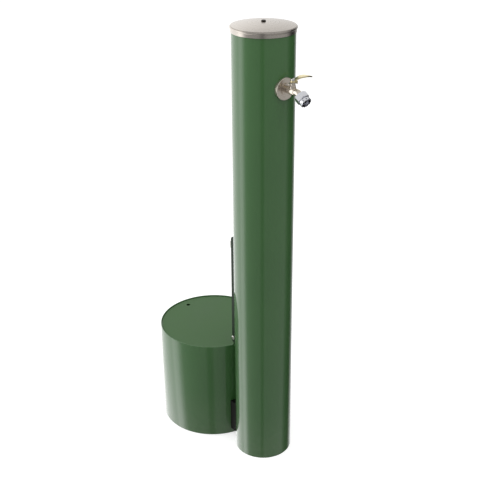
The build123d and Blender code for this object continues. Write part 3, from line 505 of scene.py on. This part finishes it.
def shown(mesh: bpy.types.Mesh, name: str, finish: Finish, wardrobe: Wardrobe) -> bpy.types.Object:
    """Puts a mesh into the scene with its finish.

    Args:
        mesh: The mesh, in place in the row's frame.
        name: The piece's name.
        finish: Its finish.
        wardrobe: Where materials come from.

    Returns:
        The object.
    """
    mesh.materials.clear()
    mesh.materials.append(wardrobe.material(finish))
    mesh.shade_smooth()
    mesh.set_sharp_from_angle(angle=SHARP_EDGE)
    made = bpy.data.objects.new(name.replace(" ", "_"), mesh)
    bpy.context.scene.collection.objects.link(made)
    return made


def settled(made: bpy.types.Object, *nodes: str, finish: Finish) -> bpy.types.Object:
    """Lets a piece stand for its CAD nodes and move with their body.

    Args:
        made: The piece.
        nodes: The CAD nodes that it stands for.
        finish: The finish; not used.

    Returns:
        The piece.
    """
    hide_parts(*nodes)
    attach(made, body_of(nodes[0]))
    LOG.info("%s stands for %s", made.name, ", ".join(nodes))
    return made


def baked(made: bpy.types.Object) -> bpy.types.Object:
    """Turns an object's modifiers into plain geometry.

    Args:
        made: The object with its modifiers.

    Returns:
        The same object with a plain mesh and no modifiers.
    """
    graph = bpy.context.evaluated_depsgraph_get()
    plain = bpy.data.meshes.new_from_object(made.evaluated_get(graph), depsgraph=graph)
    made.modifiers.clear()
    made.data = plain
    return made


@dataclass(frozen=True)
class Thread:
    """A run of thread crests round a shank, in millimetres."""

    foot: Place
    axis: Place
    radius: float
    length: float
    pitch: float
    crest: float = 0.4
    sunk: float = 0.15


@dataclass
class RepeatTrees:
    """The geometry trees for what repeats or follows a path, each built once."""

    ridge_sides: int = 4
    turn_steps: int = 32

    def __post_init__(self) -> None:
        """Builds the trees for threads and rows."""
        self.helix = self._helix()
        self.row = self._row()

    def _start(self, name: str, sockets: tuple[tuple[str, str, float | int], ...]) -> tuple:
        """Starts a tree with named inputs.

        Args:
            name: The tree's name.
            sockets: Each input's name, socket type and usual value.

        Returns:
            The tree and its input node.
        """
        tree = bpy.data.node_groups.new(name, "GeometryNodeTree")
        face = tree.interface
        face.new_socket(name="Geometry", in_out="INPUT", socket_type="NodeSocketGeometry")
        for label, kind, value in sockets:
            face.new_socket(name=label, in_out="INPUT", socket_type=kind).default_value = value
        face.new_socket(name="Material", in_out="INPUT", socket_type="NodeSocketMaterial")
        face.new_socket(name="Geometry", in_out="OUTPUT", socket_type="NodeSocketGeometry")
        return tree, tree.nodes.new("NodeGroupInput")

    def _end(
        self, tree: bpy.types.NodeTree, entry: bpy.types.Node, made: bpy.types.NodeSocket
    ) -> bpy.types.NodeTree:
        """Ends a tree with real geometry and its material.

        Args:
            tree: The tree.
            entry: Its input node.
            made: The geometry to put out.

        Returns:
            The tree.
        """
        real = tree.nodes.new("GeometryNodeRealizeInstances")
        coated = tree.nodes.new("GeometryNodeSetMaterial")
        leave = tree.nodes.new("NodeGroupOutput")
        tree.links.new(made, real.inputs["Geometry"])
        tree.links.new(real.outputs["Geometry"], coated.inputs["Geometry"])
        tree.links.new(entry.outputs["Material"], coated.inputs["Material"])
        tree.links.new(coated.outputs["Geometry"], leave.inputs["Geometry"])
        return tree

    def _helix(self) -> bpy.types.NodeTree:
        """Builds the crests of a screw thread along a helix.

        Returns:
            The tree.
        """
        tree, entry = self._start(
            "Thread crests",
            (
                ("Radius", "NodeSocketFloat", 0.01),
                ("Length", "NodeSocketFloat", 0.01),
                ("Pitch", "NodeSocketFloat", 0.001),
                ("Crest", "NodeSocketFloat", 0.0004),
                ("Steps", "NodeSocketInt", self.turn_steps),
            ),
        )
        turns = tree.nodes.new("ShaderNodeMath")
        turns.operation = "DIVIDE"
        spiral = tree.nodes.new("GeometryNodeCurveSpiral")
        ridge = tree.nodes.new("GeometryNodeCurvePrimitiveCircle")
        ridge.inputs["Resolution"].default_value = self.ridge_sides
        sweep = tree.nodes.new("GeometryNodeCurveToMesh")
        sweep.inputs["Fill Caps"].default_value = True
        links = tree.links
        links.new(entry.outputs["Length"], turns.inputs[0])
        links.new(entry.outputs["Pitch"], turns.inputs[1])
        links.new(turns.outputs["Value"], spiral.inputs["Rotations"])
        links.new(entry.outputs["Steps"], spiral.inputs["Resolution"])
        links.new(entry.outputs["Radius"], spiral.inputs["Start Radius"])
        links.new(entry.outputs["Radius"], spiral.inputs["End Radius"])
        links.new(entry.outputs["Length"], spiral.inputs["Height"])
        links.new(entry.outputs["Crest"], ridge.inputs["Radius"])
        links.new(spiral.outputs["Curve"], sweep.inputs["Curve"])
        links.new(ridge.outputs["Curve"], sweep.inputs["Profile Curve"])
        return self._end(tree, entry, sweep.outputs["Mesh"])

    def _row(self) -> bpy.types.NodeTree:
        """Builds an even row of copies of the object's own mesh.

        Returns:
            The tree.
        """
        tree, entry = self._start(
            "Row of pieces",
            (
                ("Count", "NodeSocketInt", 2),
                ("Step X", "NodeSocketFloat", 0.0),
                ("Step Y", "NodeSocketFloat", 0.0),
                ("Step Z", "NodeSocketFloat", 0.0),
            ),
        )
        step = tree.nodes.new("ShaderNodeCombineXYZ")
        line = tree.nodes.new("GeometryNodeMeshLine")
        copies = tree.nodes.new("GeometryNodeInstanceOnPoints")
        links = tree.links
        for axis in "XYZ":
            links.new(entry.outputs[f"Step {axis}"], step.inputs[axis])
        links.new(entry.outputs["Count"], line.inputs["Count"])
        links.new(step.outputs["Vector"], line.inputs["Offset"])
        links.new(line.outputs["Mesh"], copies.inputs["Points"])
        links.new(entry.outputs["Geometry"], copies.inputs["Instance"])
        return self._end(tree, entry, copies.outputs["Instances"])


def grown(made: bpy.types.Object, tree: bpy.types.NodeTree, **values: object) -> bpy.types.Object:
    """Runs a geometry tree on an object and keeps its plain mesh.

    Args:
        made: The object.
        tree: The tree.
        values: The tree's inputs by name, with underscores for spaces.

    Returns:
        The same object with the tree's mesh.
    """
    sockets = [item for item in tree.interface.items_tree if item.in_out == "INPUT"]
    names = {socket.name: socket.identifier for socket in sockets}
    repeat = made.modifiers.new(tree.name, "NODES")
    repeat.node_group = tree
    for name, value in values.items():
        repeat[names[name.replace("_", " ")]] = value
    return baked(made)


def crests(thread: Thread, finish: Finish, wardrobe: Wardrobe) -> bpy.types.Mesh:
    """Makes the crests of one thread.

    Args:
        thread: The thread.
        finish: Its finish.
        wardrobe: Where materials and trees come from.

    Returns:
        The crests' mesh, in place.
    """
    holder = bpy.data.objects.new("Thread", bpy.data.meshes.new("Thread"))
    bpy.context.scene.collection.objects.link(holder)
    grown(
        holder,
        wardrobe.trees.helix,
        Radius=(thread.radius - thread.sunk) * MM,
        Length=thread.length * MM,
        Pitch=thread.pitch * MM,
        Crest=thread.crest * MM,
        Material=wardrobe.material(finish),
    )
    mesh = holder.data
    bpy.data.objects.remove(holder)
    turn = Vector((0, 0, 1)).rotation_difference(Vector(thread.axis)).to_matrix().to_4x4()
    mesh.transform(Matrix.Translation(Vector(thread.foot) * MM) @ turn)
    return mesh


def islands(shape: bmesh.types.BMesh) -> list[list[bmesh.types.BMVert]]:
    """Finds the separate solids of a mesh, lowest first.

    Args:
        shape: The mesh.

    Returns:
        The vertices of each solid.
    """
    seen = set()
    found = []
    for start in shape.verts:
        if start in seen:
            continue
        seen.add(start)
        reached = [start]
        for vertex in reached:
            for edge in vertex.link_edges:
                other = edge.other_vert(vertex)
                if other not in seen:
                    seen.add(other)
                    reached.append(other)
        found.append(reached)
    return sorted(found, key=lambda group: middle(group).z)


def middle(group: list[bmesh.types.BMVert]) -> Vector:
    """Gives the middle of some vertices."""
    return sum((vertex.co for vertex in group), Vector()) / len(group)


def broken(made: bpy.types.Object, edge: float) -> None:
    """Breaks the sharp edges of a piece.

    Args:
        made: The piece.
        edge: The width of the broken edges, in millimetres.
    """
    bevel = made.modifiers.new("Broken edges", "BEVEL")
    bevel.width = edge * MM
    bevel.segments = BROKEN_EDGE_STEPS
    bevel.limit_method = "ANGLE"
    bevel.angle_limit = SHARP_EDGE
    bevel.use_clamp_overlap = True
    baked(made)


def evened(made: bpy.types.Object) -> None:
    """Smooths a piece and keeps its flat faces flat to the light.

    Args:
        made: The piece.
    """
    made.data.shade_smooth()
    made.data.set_sharp_from_angle(angle=SHARP_EDGE)
    weighted = made.modifiers.new("Even shading", "WEIGHTED_NORMAL")
    weighted.keep_sharp = True
    weighted.weight = FLAT_FACE_WEIGHT
    baked(made)


def dressed(
    node: str,
    name: str,
    finish: Finish,
    wardrobe: Wardrobe,
    edge: float = 0.25,
    row: bool = False,
    threads: tuple[Thread, ...] = (),
) -> bpy.types.Object:
    """Makes a smooth copy of a CAD node, with its sharp edges broken.

    Args:
        node: The CAD node.
        name: The piece's name.
        finish: Its finish.
        wardrobe: Where materials and trees come from.
        edge: The width of the broken edges, in millimetres; 0 leaves them sharp.
        row: Whether the node is an even row of one solid, which is then repeated.
        threads: The threads that it carries.

    Returns:
        The piece.
    """
    shape = bmesh.new()
    shape.from_mesh(frame["nodes"][node].data)
    bmesh.ops.remove_doubles(shape, verts=shape.verts, dist=MERGE_REACH)
    solids = islands(shape)
    step = (middle(solids[-1]) - middle(solids[0])) / max(len(solids) - 1, 1)
    if row:
        spare = [vertex for solid in solids[1:] for vertex in solid]
        bmesh.ops.delete(shape, geom=spare, context="VERTS")
    bmesh.ops.dissolve_limit(
        shape, angle_limit=FLAT_ANGLE, verts=shape.verts, edges=shape.edges, delimit={"NORMAL"}
    )
    mesh = bpy.data.meshes.new(name)
    shape.to_mesh(mesh)
    shape.free()
    made = shown(mesh, name, finish, wardrobe)
    if edge > 0:
        broken(made, edge)
    if row:
        grown(
            made,
            wardrobe.trees.row,
            Count=len(solids),
            Step_X=step.x,
            Step_Y=step.y,
            Step_Z=step.z,
            Material=wardrobe.material(finish),
        )
    if threads:
        joined = bmesh.new()
        joined.from_mesh(made.data)
        for thread in threads:
            joined.from_mesh(crests(thread, finish, wardrobe))
        joined.to_mesh(made.data)
        joined.free()
    evened(made)
    return settled(made, node, finish=finish)


def rounded(corners: list[Point], radii: list[float], steps: int = 4) -> list[Point]:
    """Rounds the corners of a closed outline.

    Args:
        corners: The outline's corners.
        radii: Each corner's radius, where 0 stays sharp.
        steps: How many facets a round corner has.

    Returns:
        The outline's points.
    """
    points: list[Point] = []
    for place, radius in enumerate(radii):
        here = Vector(corners[place])
        before = (Vector(corners[place - 1]) - here).normalized()
        after = (Vector(corners[(place + 1) % len(corners)]) - here).normalized()
        if radius <= 0:
            points.append(tuple(here))
            continue
        half = before.angle(after) / 2
        start = here + before * radius / math.tan(half)
        end = here + after * radius / math.tan(half)
        centre = here + (before + after).normalized() * radius / math.sin(half)
        for step in range(steps + 1):
            share = step / steps
            spoke = (start - centre).slerp(end - centre, share)
            points.append(tuple(centre + spoke * radius))
    return points


def pipe_wall(
    outer: float, wall: float, foot: float, top: float, edges: list[float]
) -> list[Point]:
    """Draws the cut through one side of an upright pipe.

    Args:
        outer: The pipe's outer radius.
        wall: The thickness of its wall.
        foot: The height of its lower end.
        top: The height of its upper end.
        edges: The radius of each edge, from the inner lower one round by the outer ones.

    Returns:
        The closed outline, as radius and height.
    """
    inner = outer - wall
    return rounded([(inner, foot), (outer, foot), (outer, top), (inner, top)], edges)


def turned(outline: list[Point], centre: Point, sides: int) -> bpy.types.Mesh:
    """Turns a closed outline, in millimetres, round an upright axis.

    Args:
        outline: Points as radius and height; those at radius 0 meet on the axis.
        centre: Where the axis stands.
        sides: How many facets the turned piece has.

    Returns:
        The closed mesh, in metres.
    """
    shape = bmesh.new()
    rings = []
    for radius, height in outline:
        if radius <= 0:
            point = shape.verts.new((centre[0] * MM, centre[1] * MM, height * MM))
            rings.append([point] * sides)
            continue
        ring = []
        for side in range(sides):
            angle = math.tau * side / sides
            ring.append(
                shape.verts.new(
                    (
                        (centre[0] + radius * math.cos(angle)) * MM,
                        (centre[1] + radius * math.sin(angle)) * MM,
                        height * MM,
                    )
                )
            )
        rings.append(ring)
    for ring, following in zip(rings, rings[1:] + rings[:1]):
        for side in range(sides):
            after = (side + 1) % sides
            corners = [ring[side], ring[after], following[after], following[side]]
            unique = list(dict.fromkeys(corners))
            if len(unique) > 2:
                shape.faces.new(unique)
    bmesh.ops.recalc_face_normals(shape, faces=shape.faces)
    mesh = bpy.data.meshes.new("turned")
    shape.to_mesh(mesh)
    shape.free()
    return mesh


@dataclass
class Column:
    """The coated tube with its foot socket and its stainless cap, in millimetres."""

    radius: float = 64.5
    wall: float = 2.0
    height: float = 990.0
    edge: float = 0.6
    sides: int = 256
    cap_seat: float = 991.2
    skirt_inner: float = 64.6
    skirt_outer: float = 65.6
    skirt_drop: float = 6.8
    bead_height: float = 4.6
    bead_reach: float = 1.8
    groove_width: float = 0.6
    groove_depth: float = 0.7
    dome_rise: float = 7.0
    sheet: float = 1.2
    screw_hole: float = 2.6
    bead_steps: int = 12
    dome_steps: int = 28

    def build(self, wardrobe: Wardrobe) -> None:
        """Builds the column's pieces.

        Args:
            wardrobe: Where materials and trees come from.
        """
        edges = [self.edge / 2, self.edge, self.edge, self.edge / 2]
        tube = turned(pipe_wall(self.radius, self.wall, 0, self.height, edges), (0, 0), self.sides)
        made = shown(tube, "Column tube", COLUMN_GREEN, wardrobe)
        settled(made, "column_tube", finish=COLUMN_GREEN)
        cap = turned(self.cap_outline(), (0, 0), self.sides)
        settled(shown(cap, "Column cap", SPUN_STEEL, wardrobe), "cap", finish=SPUN_STEEL)
        dressed("cap_screw", "Cap screw", DARK_STEEL, wardrobe)
        dressed("cap_gasket", "Cap gasket", BLACK_RUBBER, wardrobe, edge=0)
        dressed("cap_bridge", "Cap bridge", PLAIN_STEEL, wardrobe, edge=0)
        dressed("floor_socket", "Floor socket", DARK_COAT, wardrobe, edge=0.4)
        dressed("foot_screws", "Foot screws", PLAIN_STEEL, wardrobe, edge=0)

    def cap_outline(self) -> list[Point]:
        """Draws the cap: skirt, rolled bead, groove and dome.

        Returns:
            The closed outline, as radius and height.
        """
        bead_top = self.cap_seat + self.bead_height
        groove_top = bead_top + self.groove_width
        top = groove_top + self.dome_rise
        bottom = self.cap_seat - self.skirt_drop
        middle = (self.cap_seat + bead_top) / 2
        curve = (self.skirt_outer**2 + self.dome_rise**2) / (2 * self.dome_rise)
        points = [(self.skirt_inner, bottom), (self.skirt_outer, bottom)]
        for step in range(self.bead_steps + 1):
            angle = math.pi * (step / self.bead_steps - 0.5)
            points.append(
                (
                    self.skirt_outer + self.bead_reach * math.cos(angle),
                    middle + self.bead_height / 2 * math.sin(angle),
                )
            )
        points.append((self.skirt_outer - self.groove_depth, bead_top))
        points.append((self.skirt_outer - self.groove_depth, groove_top))
        inward = self.screw_hole - self.skirt_outer
        for step in range(self.dome_steps + 1):
            reach = self.skirt_outer + inward * step / self.dome_steps
            points.append((reach, top - curve + math.sqrt(curve**2 - reach**2)))
        inner = self.radius - self.wall
        for step in range(self.dome_steps + 1):
            reach = self.screw_hole + (inner - self.screw_hole) * step / self.dome_steps
            points.append((reach, top - self.sheet - curve + math.sqrt(curve**2 - reach**2)))
        points.append((inner, self.cap_seat))
        points.append((self.skirt_inner, self.cap_seat))
        return points


@dataclass
class Tap:
    """The lever tap: rosette, body, gland, lever, union and hose connector."""

    edge: float = 0.3

    def build(self, wardrobe: Wardrobe) -> None:
        """Builds the tap's pieces.

        Args:
            wardrobe: Where materials and trees come from.
        """
        dressed("tap_rosette", "Tap rosette", SATIN_NICKEL, wardrobe, edge=0.2)
        dressed("tap_body", "Tap body", SATIN_NICKEL, wardrobe, edge=0.2)
        dressed("gland_nut", "Gland nut", SATIN_NICKEL, wardrobe, edge=0.2)
        dressed("lever", "Lever", LEVER_BRASS, wardrobe, edge=self.edge)
        dressed("lever_nut", "Lever nut", PLAIN_STEEL, wardrobe, edge=0)
        dressed("union_nut", "Union nut", BRIGHT_CHROME, wardrobe, edge=self.edge)
        dressed("hose_connector", "Hose connector", BRIGHT_CHROME, wardrobe, edge=0.15)
        dressed("valve_stem", "Valve stem", RAW_BRASS, wardrobe, edge=0)
        inner = {
            "rosette_seal": ("Rosette seal", BLACK_RUBBER),
            "valve_ball": ("Valve ball", BRIGHT_CHROME),
            "ball_seats": ("Ball seats", WHITE_PLASTIC),
            "seat_retainer": ("Seat retainer", RAW_BRASS),
            "stem_packing": ("Stem packing", WHITE_PLASTIC),
            "union_washer": ("Union washer", BLACK_RUBBER),
        }
        for node, (name, finish) in inner.items():
            dressed(node, name, finish, wardrobe, edge=0)


@dataclass
class Supply:
    """The water's way up inside the column, in millimetres."""

    edge: float = 0.3
    thread_foot: float = 25.0
    thread_radius: float = 10.4775
    thread_length: float = 14.0
    thread_pitch: float = 1.814

    def build(self, wardrobe: Wardrobe) -> None:
        """Builds the supply's pieces.

        Args:
            wardrobe: Where materials and trees come from.
        """
        dressed("wall_elbow", "Wall elbow", RAW_BRASS, wardrobe, edge=0)
        dressed("elbow_saddle", "Elbow saddle", DARK_PLASTIC, wardrobe, edge=0)
        supply = Thread(
            foot=(0, 0, self.thread_foot),
            axis=(0, 0, 1),
            radius=self.thread_radius,
            length=self.thread_length,
            pitch=self.thread_pitch,
        )
        dressed(
            "inlet_fitting", "Inlet fitting", RAW_BRASS, wardrobe, edge=self.edge, threads=(supply,)
        )
        dressed("riser_nuts", "Riser nuts", RAW_BRASS, wardrobe, edge=self.edge)
        dressed("supply_riser", "Supply riser", PIPE_STEEL, wardrobe, edge=0)
        dressed("riser_clips", "Riser clips", DARK_PLASTIC, wardrobe, edge=0, row=True)


@dataclass
class HoseDrum:
    """The round hose drum with its base, feet, ledge and lid, in millimetres."""

    radius: float = 125.0
    wall: float = 2.0
    centre: float = 191.0
    bottom: float = 1.0
    height: float = 247.0
    edge: float = 0.9
    sides: int = 320

    def build(self, wardrobe: Wardrobe) -> None:
        """Builds the drum's pieces.

        Args:
            wardrobe: Where materials and trees come from.
        """
        edges = [self.edge / 2, self.edge, self.edge, self.edge]
        wall = pipe_wall(self.radius, self.wall, self.bottom, self.height, edges)
        shell = turned(wall, (0, self.centre), self.sides)
        settled(shown(shell, "Drum shell", DRUM_GREEN, wardrobe), "drum_shell", finish=DRUM_GREEN)
        dressed("lid_plate", "Drum lid", LID_GREEN, wardrobe, edge=0.5)
        dressed("lid_sleeve", "Lid sleeve", LID_GREEN, wardrobe, edge=0.3)
        dressed("lid_ledge", "Lid ledge", DRUM_GREEN, wardrobe, edge=0)
        dressed("drum_base", "Drum base", DRUM_GREEN, wardrobe, edge=0)
        dressed("drum_feet", "Drum feet", BLACK_RUBBER, wardrobe, edge=0.8)
        dressed("foot_bolts", "Foot bolts", PLAIN_STEEL, wardrobe, edge=0)
        dressed("foot_nuts", "Foot nuts", PLAIN_STEEL, wardrobe, edge=0.2)
        dressed("drum_spacer", "Drum spacer", DARK_PLASTIC, wardrobe, edge=0.6)
        dressed("tie_bolts", "Tie bolts", PLAIN_STEEL, wardrobe, edge=0.3, row=True)
        dressed("tie_washers", "Tie washers", PLAIN_STEEL, wardrobe, edge=0.1, row=True)
        dressed("tie_nuts", "Tie nuts", PLAIN_STEEL, wardrobe, edge=0.3, row=True)


@dataclass
class LidRail:
    """The upright rail on the column's back, with the hinge pin and the lid's rest."""

    edge: float = 0.4

    def build(self, wardrobe: Wardrobe) -> None:
        """Builds the rail's pieces.

        Args:
            wardrobe: Where materials and trees come from.
        """
        # The rail's dark green is painted shade, not a different paint.
        dressed("rail", "Lid rail", RAIL_GREEN_PAINTED_SHADE, wardrobe, edge=self.edge)
        dressed("rail_screws", "Rail screws", PLAIN_STEEL, wardrobe, edge=0.15, row=True)
        dressed("rail_nuts", "Rail nuts", PLAIN_STEEL, wardrobe, edge=0.2, row=True)
        dressed("lid_rest", "Lid rest", PALE_RUBBER, wardrobe, edge=0)
        dressed("hinge_pin", "Hinge pin", PLAIN_STEEL, wardrobe, edge=0)
        dressed("hinge_nut", "Hinge nut", PLAIN_STEEL, wardrobe, edge=0.2)


# Stage


@dataclass
class Studio:
    """A pale floor, a softly lit room and the camera, in metres and degrees."""

    camera_place: Place = (-1.16091, -1.38461, 1.3932)
    camera_forward: Place = (0.57473, 0.70772, -0.41087)
    camera_up: Place = (0.26319, 0.31554, 0.91168)
    lens: float = 66.78
    sensor: float = 36.0
    shift: float = -0.06
    floor_half: float = 60.0
    floor_glow: float = 0.6
    floor_seen: float = 0.62
    floor_bounce: float = 0.7
    # Name, place, target, width, height and power in watts
    panels: tuple[Panel, ...] = (
        ("Key panel", (-1.9, 1.5, 2.3), (0.0, 0.05, 0.45), 1.8, 1.8, 26.0),
        ("Top panel", (-0.2, -0.9, 3.0), (0.0, 0.1, 0.3), 2.2, 2.2, 30.0),
    )
    # The room's level at each bearing, in degrees
    room: tuple[tuple[float, float], ...] = (
        (-180, 0.46),
        (-144, 0.46),
        (-137, 0.1),
        (-130, 0.1),
        (-124, 0.46),
        (-42, 0.5),
        (-32, 0.2),
        (-20, 0.01),
        (4, 0.01),
        (16, 0.55),
        (48, 1.1),
        (66, 1.6),
        (130, 1.6),
        (138, 2.5),
        (148, 2.4),
        (156, 1.3),
        (164, 0.48),
        (180, 0.46),
    )
    room_peak: float = 2.5
    sky_level: float = 0.72
    sky_from: float = 0.45
    sky_to: float = 0.75

    def build(self) -> None:
        """Builds the floor, the lights and the camera."""
        self._floor()
        for name, place, target, width, height, power in self.panels:
            self._panel(name, Vector(place), Vector(target), width, height, power)
        self._world()
        self._camera()
        bpy.context.scene.view_settings.view_transform = "Standard"

    def _floor(self) -> None:
        """Lays a wide pale floor that shows white to the camera and keeps the shadow."""
        shape = bmesh.new()
        bmesh.ops.create_grid(shape, x_segments=1, y_segments=1, size=self.floor_half)
        mesh = bpy.data.meshes.new("Floor")
        shape.to_mesh(mesh)
        shape.free()
        floor = bpy.data.objects.new("Floor", mesh)
        bpy.context.scene.collection.objects.link(floor)
        made = bpy.data.materials.new("Pale floor")
        made.use_nodes = True
        tree = made.node_tree
        tree.nodes.clear()
        out = tree.nodes.new("ShaderNodeOutputMaterial")
        matt = tree.nodes.new("ShaderNodeBsdfDiffuse")
        matt.inputs["Color"].default_value = (*[self.floor_bounce] * 3, 1.0)
        seen = tree.nodes.new("ShaderNodeBsdfDiffuse")
        seen.inputs["Color"].default_value = (*[self.floor_seen] * 3, 1.0)
        glow = tree.nodes.new("ShaderNodeEmission")
        glow.inputs["Strength"].default_value = self.floor_glow
        both = tree.nodes.new("ShaderNodeAddShader")
        clear = tree.nodes.new("ShaderNodeBsdfTransparent")
        paths = tree.nodes.new("ShaderNodeLightPath")
        to_camera = tree.nodes.new("ShaderNodeMixShader")
        to_gloss = tree.nodes.new("ShaderNodeMixShader")
        links = tree.links
        links.new(seen.outputs[0], both.inputs[0])
        links.new(glow.outputs[0], both.inputs[1])
        links.new(paths.outputs["Is Camera Ray"], to_camera.inputs["Fac"])
        links.new(matt.outputs[0], to_camera.inputs[1])
        links.new(both.outputs[0], to_camera.inputs[2])
        links.new(paths.outputs["Is Glossy Ray"], to_gloss.inputs["Fac"])
        links.new(to_camera.outputs[0], to_gloss.inputs[1])
        links.new(clear.outputs[0], to_gloss.inputs[2])
        links.new(to_gloss.outputs[0], out.inputs["Surface"])
        mesh.materials.append(made)
        LOG.info("Floor laid")

    def _panel(
        self, name: str, place: Vector, target: Vector, width: float, height: float, power: float
    ) -> None:
        """Hangs a soft rectangular panel light.

        Args:
            name: Its name.
            place: Where its middle is.
            target: Where it faces.
            width: Its width.
            height: Its height.
            power: Its power in watts.
        """
        lamp = bpy.data.lights.new(name, "AREA")
        lamp.shape = "RECTANGLE"
        lamp.size = width
        lamp.size_y = height
        lamp.energy = power
        made = bpy.data.objects.new(name, lamp)
        made.visible_glossy = False
        turn = (place - target).to_track_quat("Z", "Y").to_matrix().to_4x4()
        made.matrix_world = Matrix.Translation(place) @ turn
        bpy.context.scene.collection.objects.link(made)
        LOG.info("%s hung", name)

    def _world(self) -> None:
        """Lights the scene from a room with bright and dim sides, white to the camera."""
        world = bpy.data.worlds.new("Studio")
        bpy.context.scene.world = world
        world.use_nodes = True
        tree = world.node_tree
        tree.nodes.clear()
        links = tree.links

        def node(kind: str, **values: object) -> bpy.types.Node:
            """Adds a node and sets its properties.

            Args:
                kind: The node's type.
                values: Its properties by name.

            Returns:
                The node.
            """
            made = tree.nodes.new(kind)
            for name, value in values.items():
                setattr(made, name, value)
            return made

        out = node("ShaderNodeOutputWorld")
        place = node("ShaderNodeTexCoord")
        split = node("ShaderNodeSeparateXYZ")
        bearing = node("ShaderNodeMath", operation="ARCTAN2")
        turn = node("ShaderNodeMapRange")
        turn.inputs["From Min"].default_value = -math.pi
        turn.inputs["From Max"].default_value = math.pi
        ramp = node("ShaderNodeValToRGB")
        stops = ramp.color_ramp.elements
        while len(stops) < len(self.room):
            stops.new(1.0)
        for stop, (angle, level) in zip(stops, self.room):
            stop.position = (angle + 180) / 360
            stop.color = (*[level / self.room_peak] * 3, 1.0)
        scaled = node("ShaderNodeMath", operation="MULTIPLY")
        scaled.inputs[1].default_value = self.room_peak
        rise = node("ShaderNodeMapRange", interpolation_type="SMOOTHSTEP")
        rise.inputs["From Min"].default_value = self.sky_from
        rise.inputs["From Max"].default_value = self.sky_to
        level = node("ShaderNodeMix")
        level.inputs["B"].default_value = self.sky_level
        light = node("ShaderNodeBackground")
        white = node("ShaderNodeBackground")
        for shader in (light, white):
            shader.inputs["Color"].default_value = (1.0, 1.0, 1.0, 1.0)
        paths = node("ShaderNodeLightPath")
        choose = node("ShaderNodeMixShader")
        links.new(place.outputs["Generated"], split.inputs["Vector"])
        links.new(split.outputs["Y"], bearing.inputs[0])
        links.new(split.outputs["X"], bearing.inputs[1])
        links.new(bearing.outputs["Value"], turn.inputs["Value"])
        links.new(turn.outputs["Result"], ramp.inputs["Fac"])
        links.new(ramp.outputs["Color"], scaled.inputs[0])
        links.new(split.outputs["Z"], rise.inputs["Value"])
        links.new(rise.outputs["Result"], level.inputs["Factor"])
        links.new(scaled.outputs["Value"], level.inputs["A"])
        links.new(level.outputs["Result"], light.inputs["Strength"])
        links.new(paths.outputs["Is Camera Ray"], choose.inputs["Fac"])
        links.new(light.outputs[0], choose.inputs[1])
        links.new(white.outputs[0], choose.inputs[2])
        links.new(choose.outputs[0], out.inputs["Surface"])

    def _camera(self) -> None:
        """Sets up the camera at the photograph's viewing angle."""
        back = -Vector(self.camera_forward).normalized()
        up = Vector(self.camera_up).normalized()
        right = up.cross(back).normalized()
        turn = Matrix((right, back.cross(right), back)).transposed()
        lens = bpy.data.cameras.new("Camera")
        lens.sensor_width = self.sensor
        lens.lens = self.lens
        lens.shift_y = self.shift
        camera = bpy.data.objects.new("Camera", lens)
        camera.matrix_world = Matrix.Translation(Vector(self.camera_place)) @ turn.to_4x4()
        bpy.context.scene.collection.objects.link(camera)
        bpy.context.scene.camera = camera


def main() -> None:
    """Builds every sub-assembly and the studio, in order."""
    logging.basicConfig(level=logging.INFO, format="%(name)s: %(message)s")
    wardrobe = Wardrobe()
    for part in (Column(), Tap(), Supply(), HoseDrum(), LidRail()):
        part.build(wardrobe)
        LOG.info("%s done", type(part).__name__)
    Studio().build()


if __name__ == "__main__":
    main()
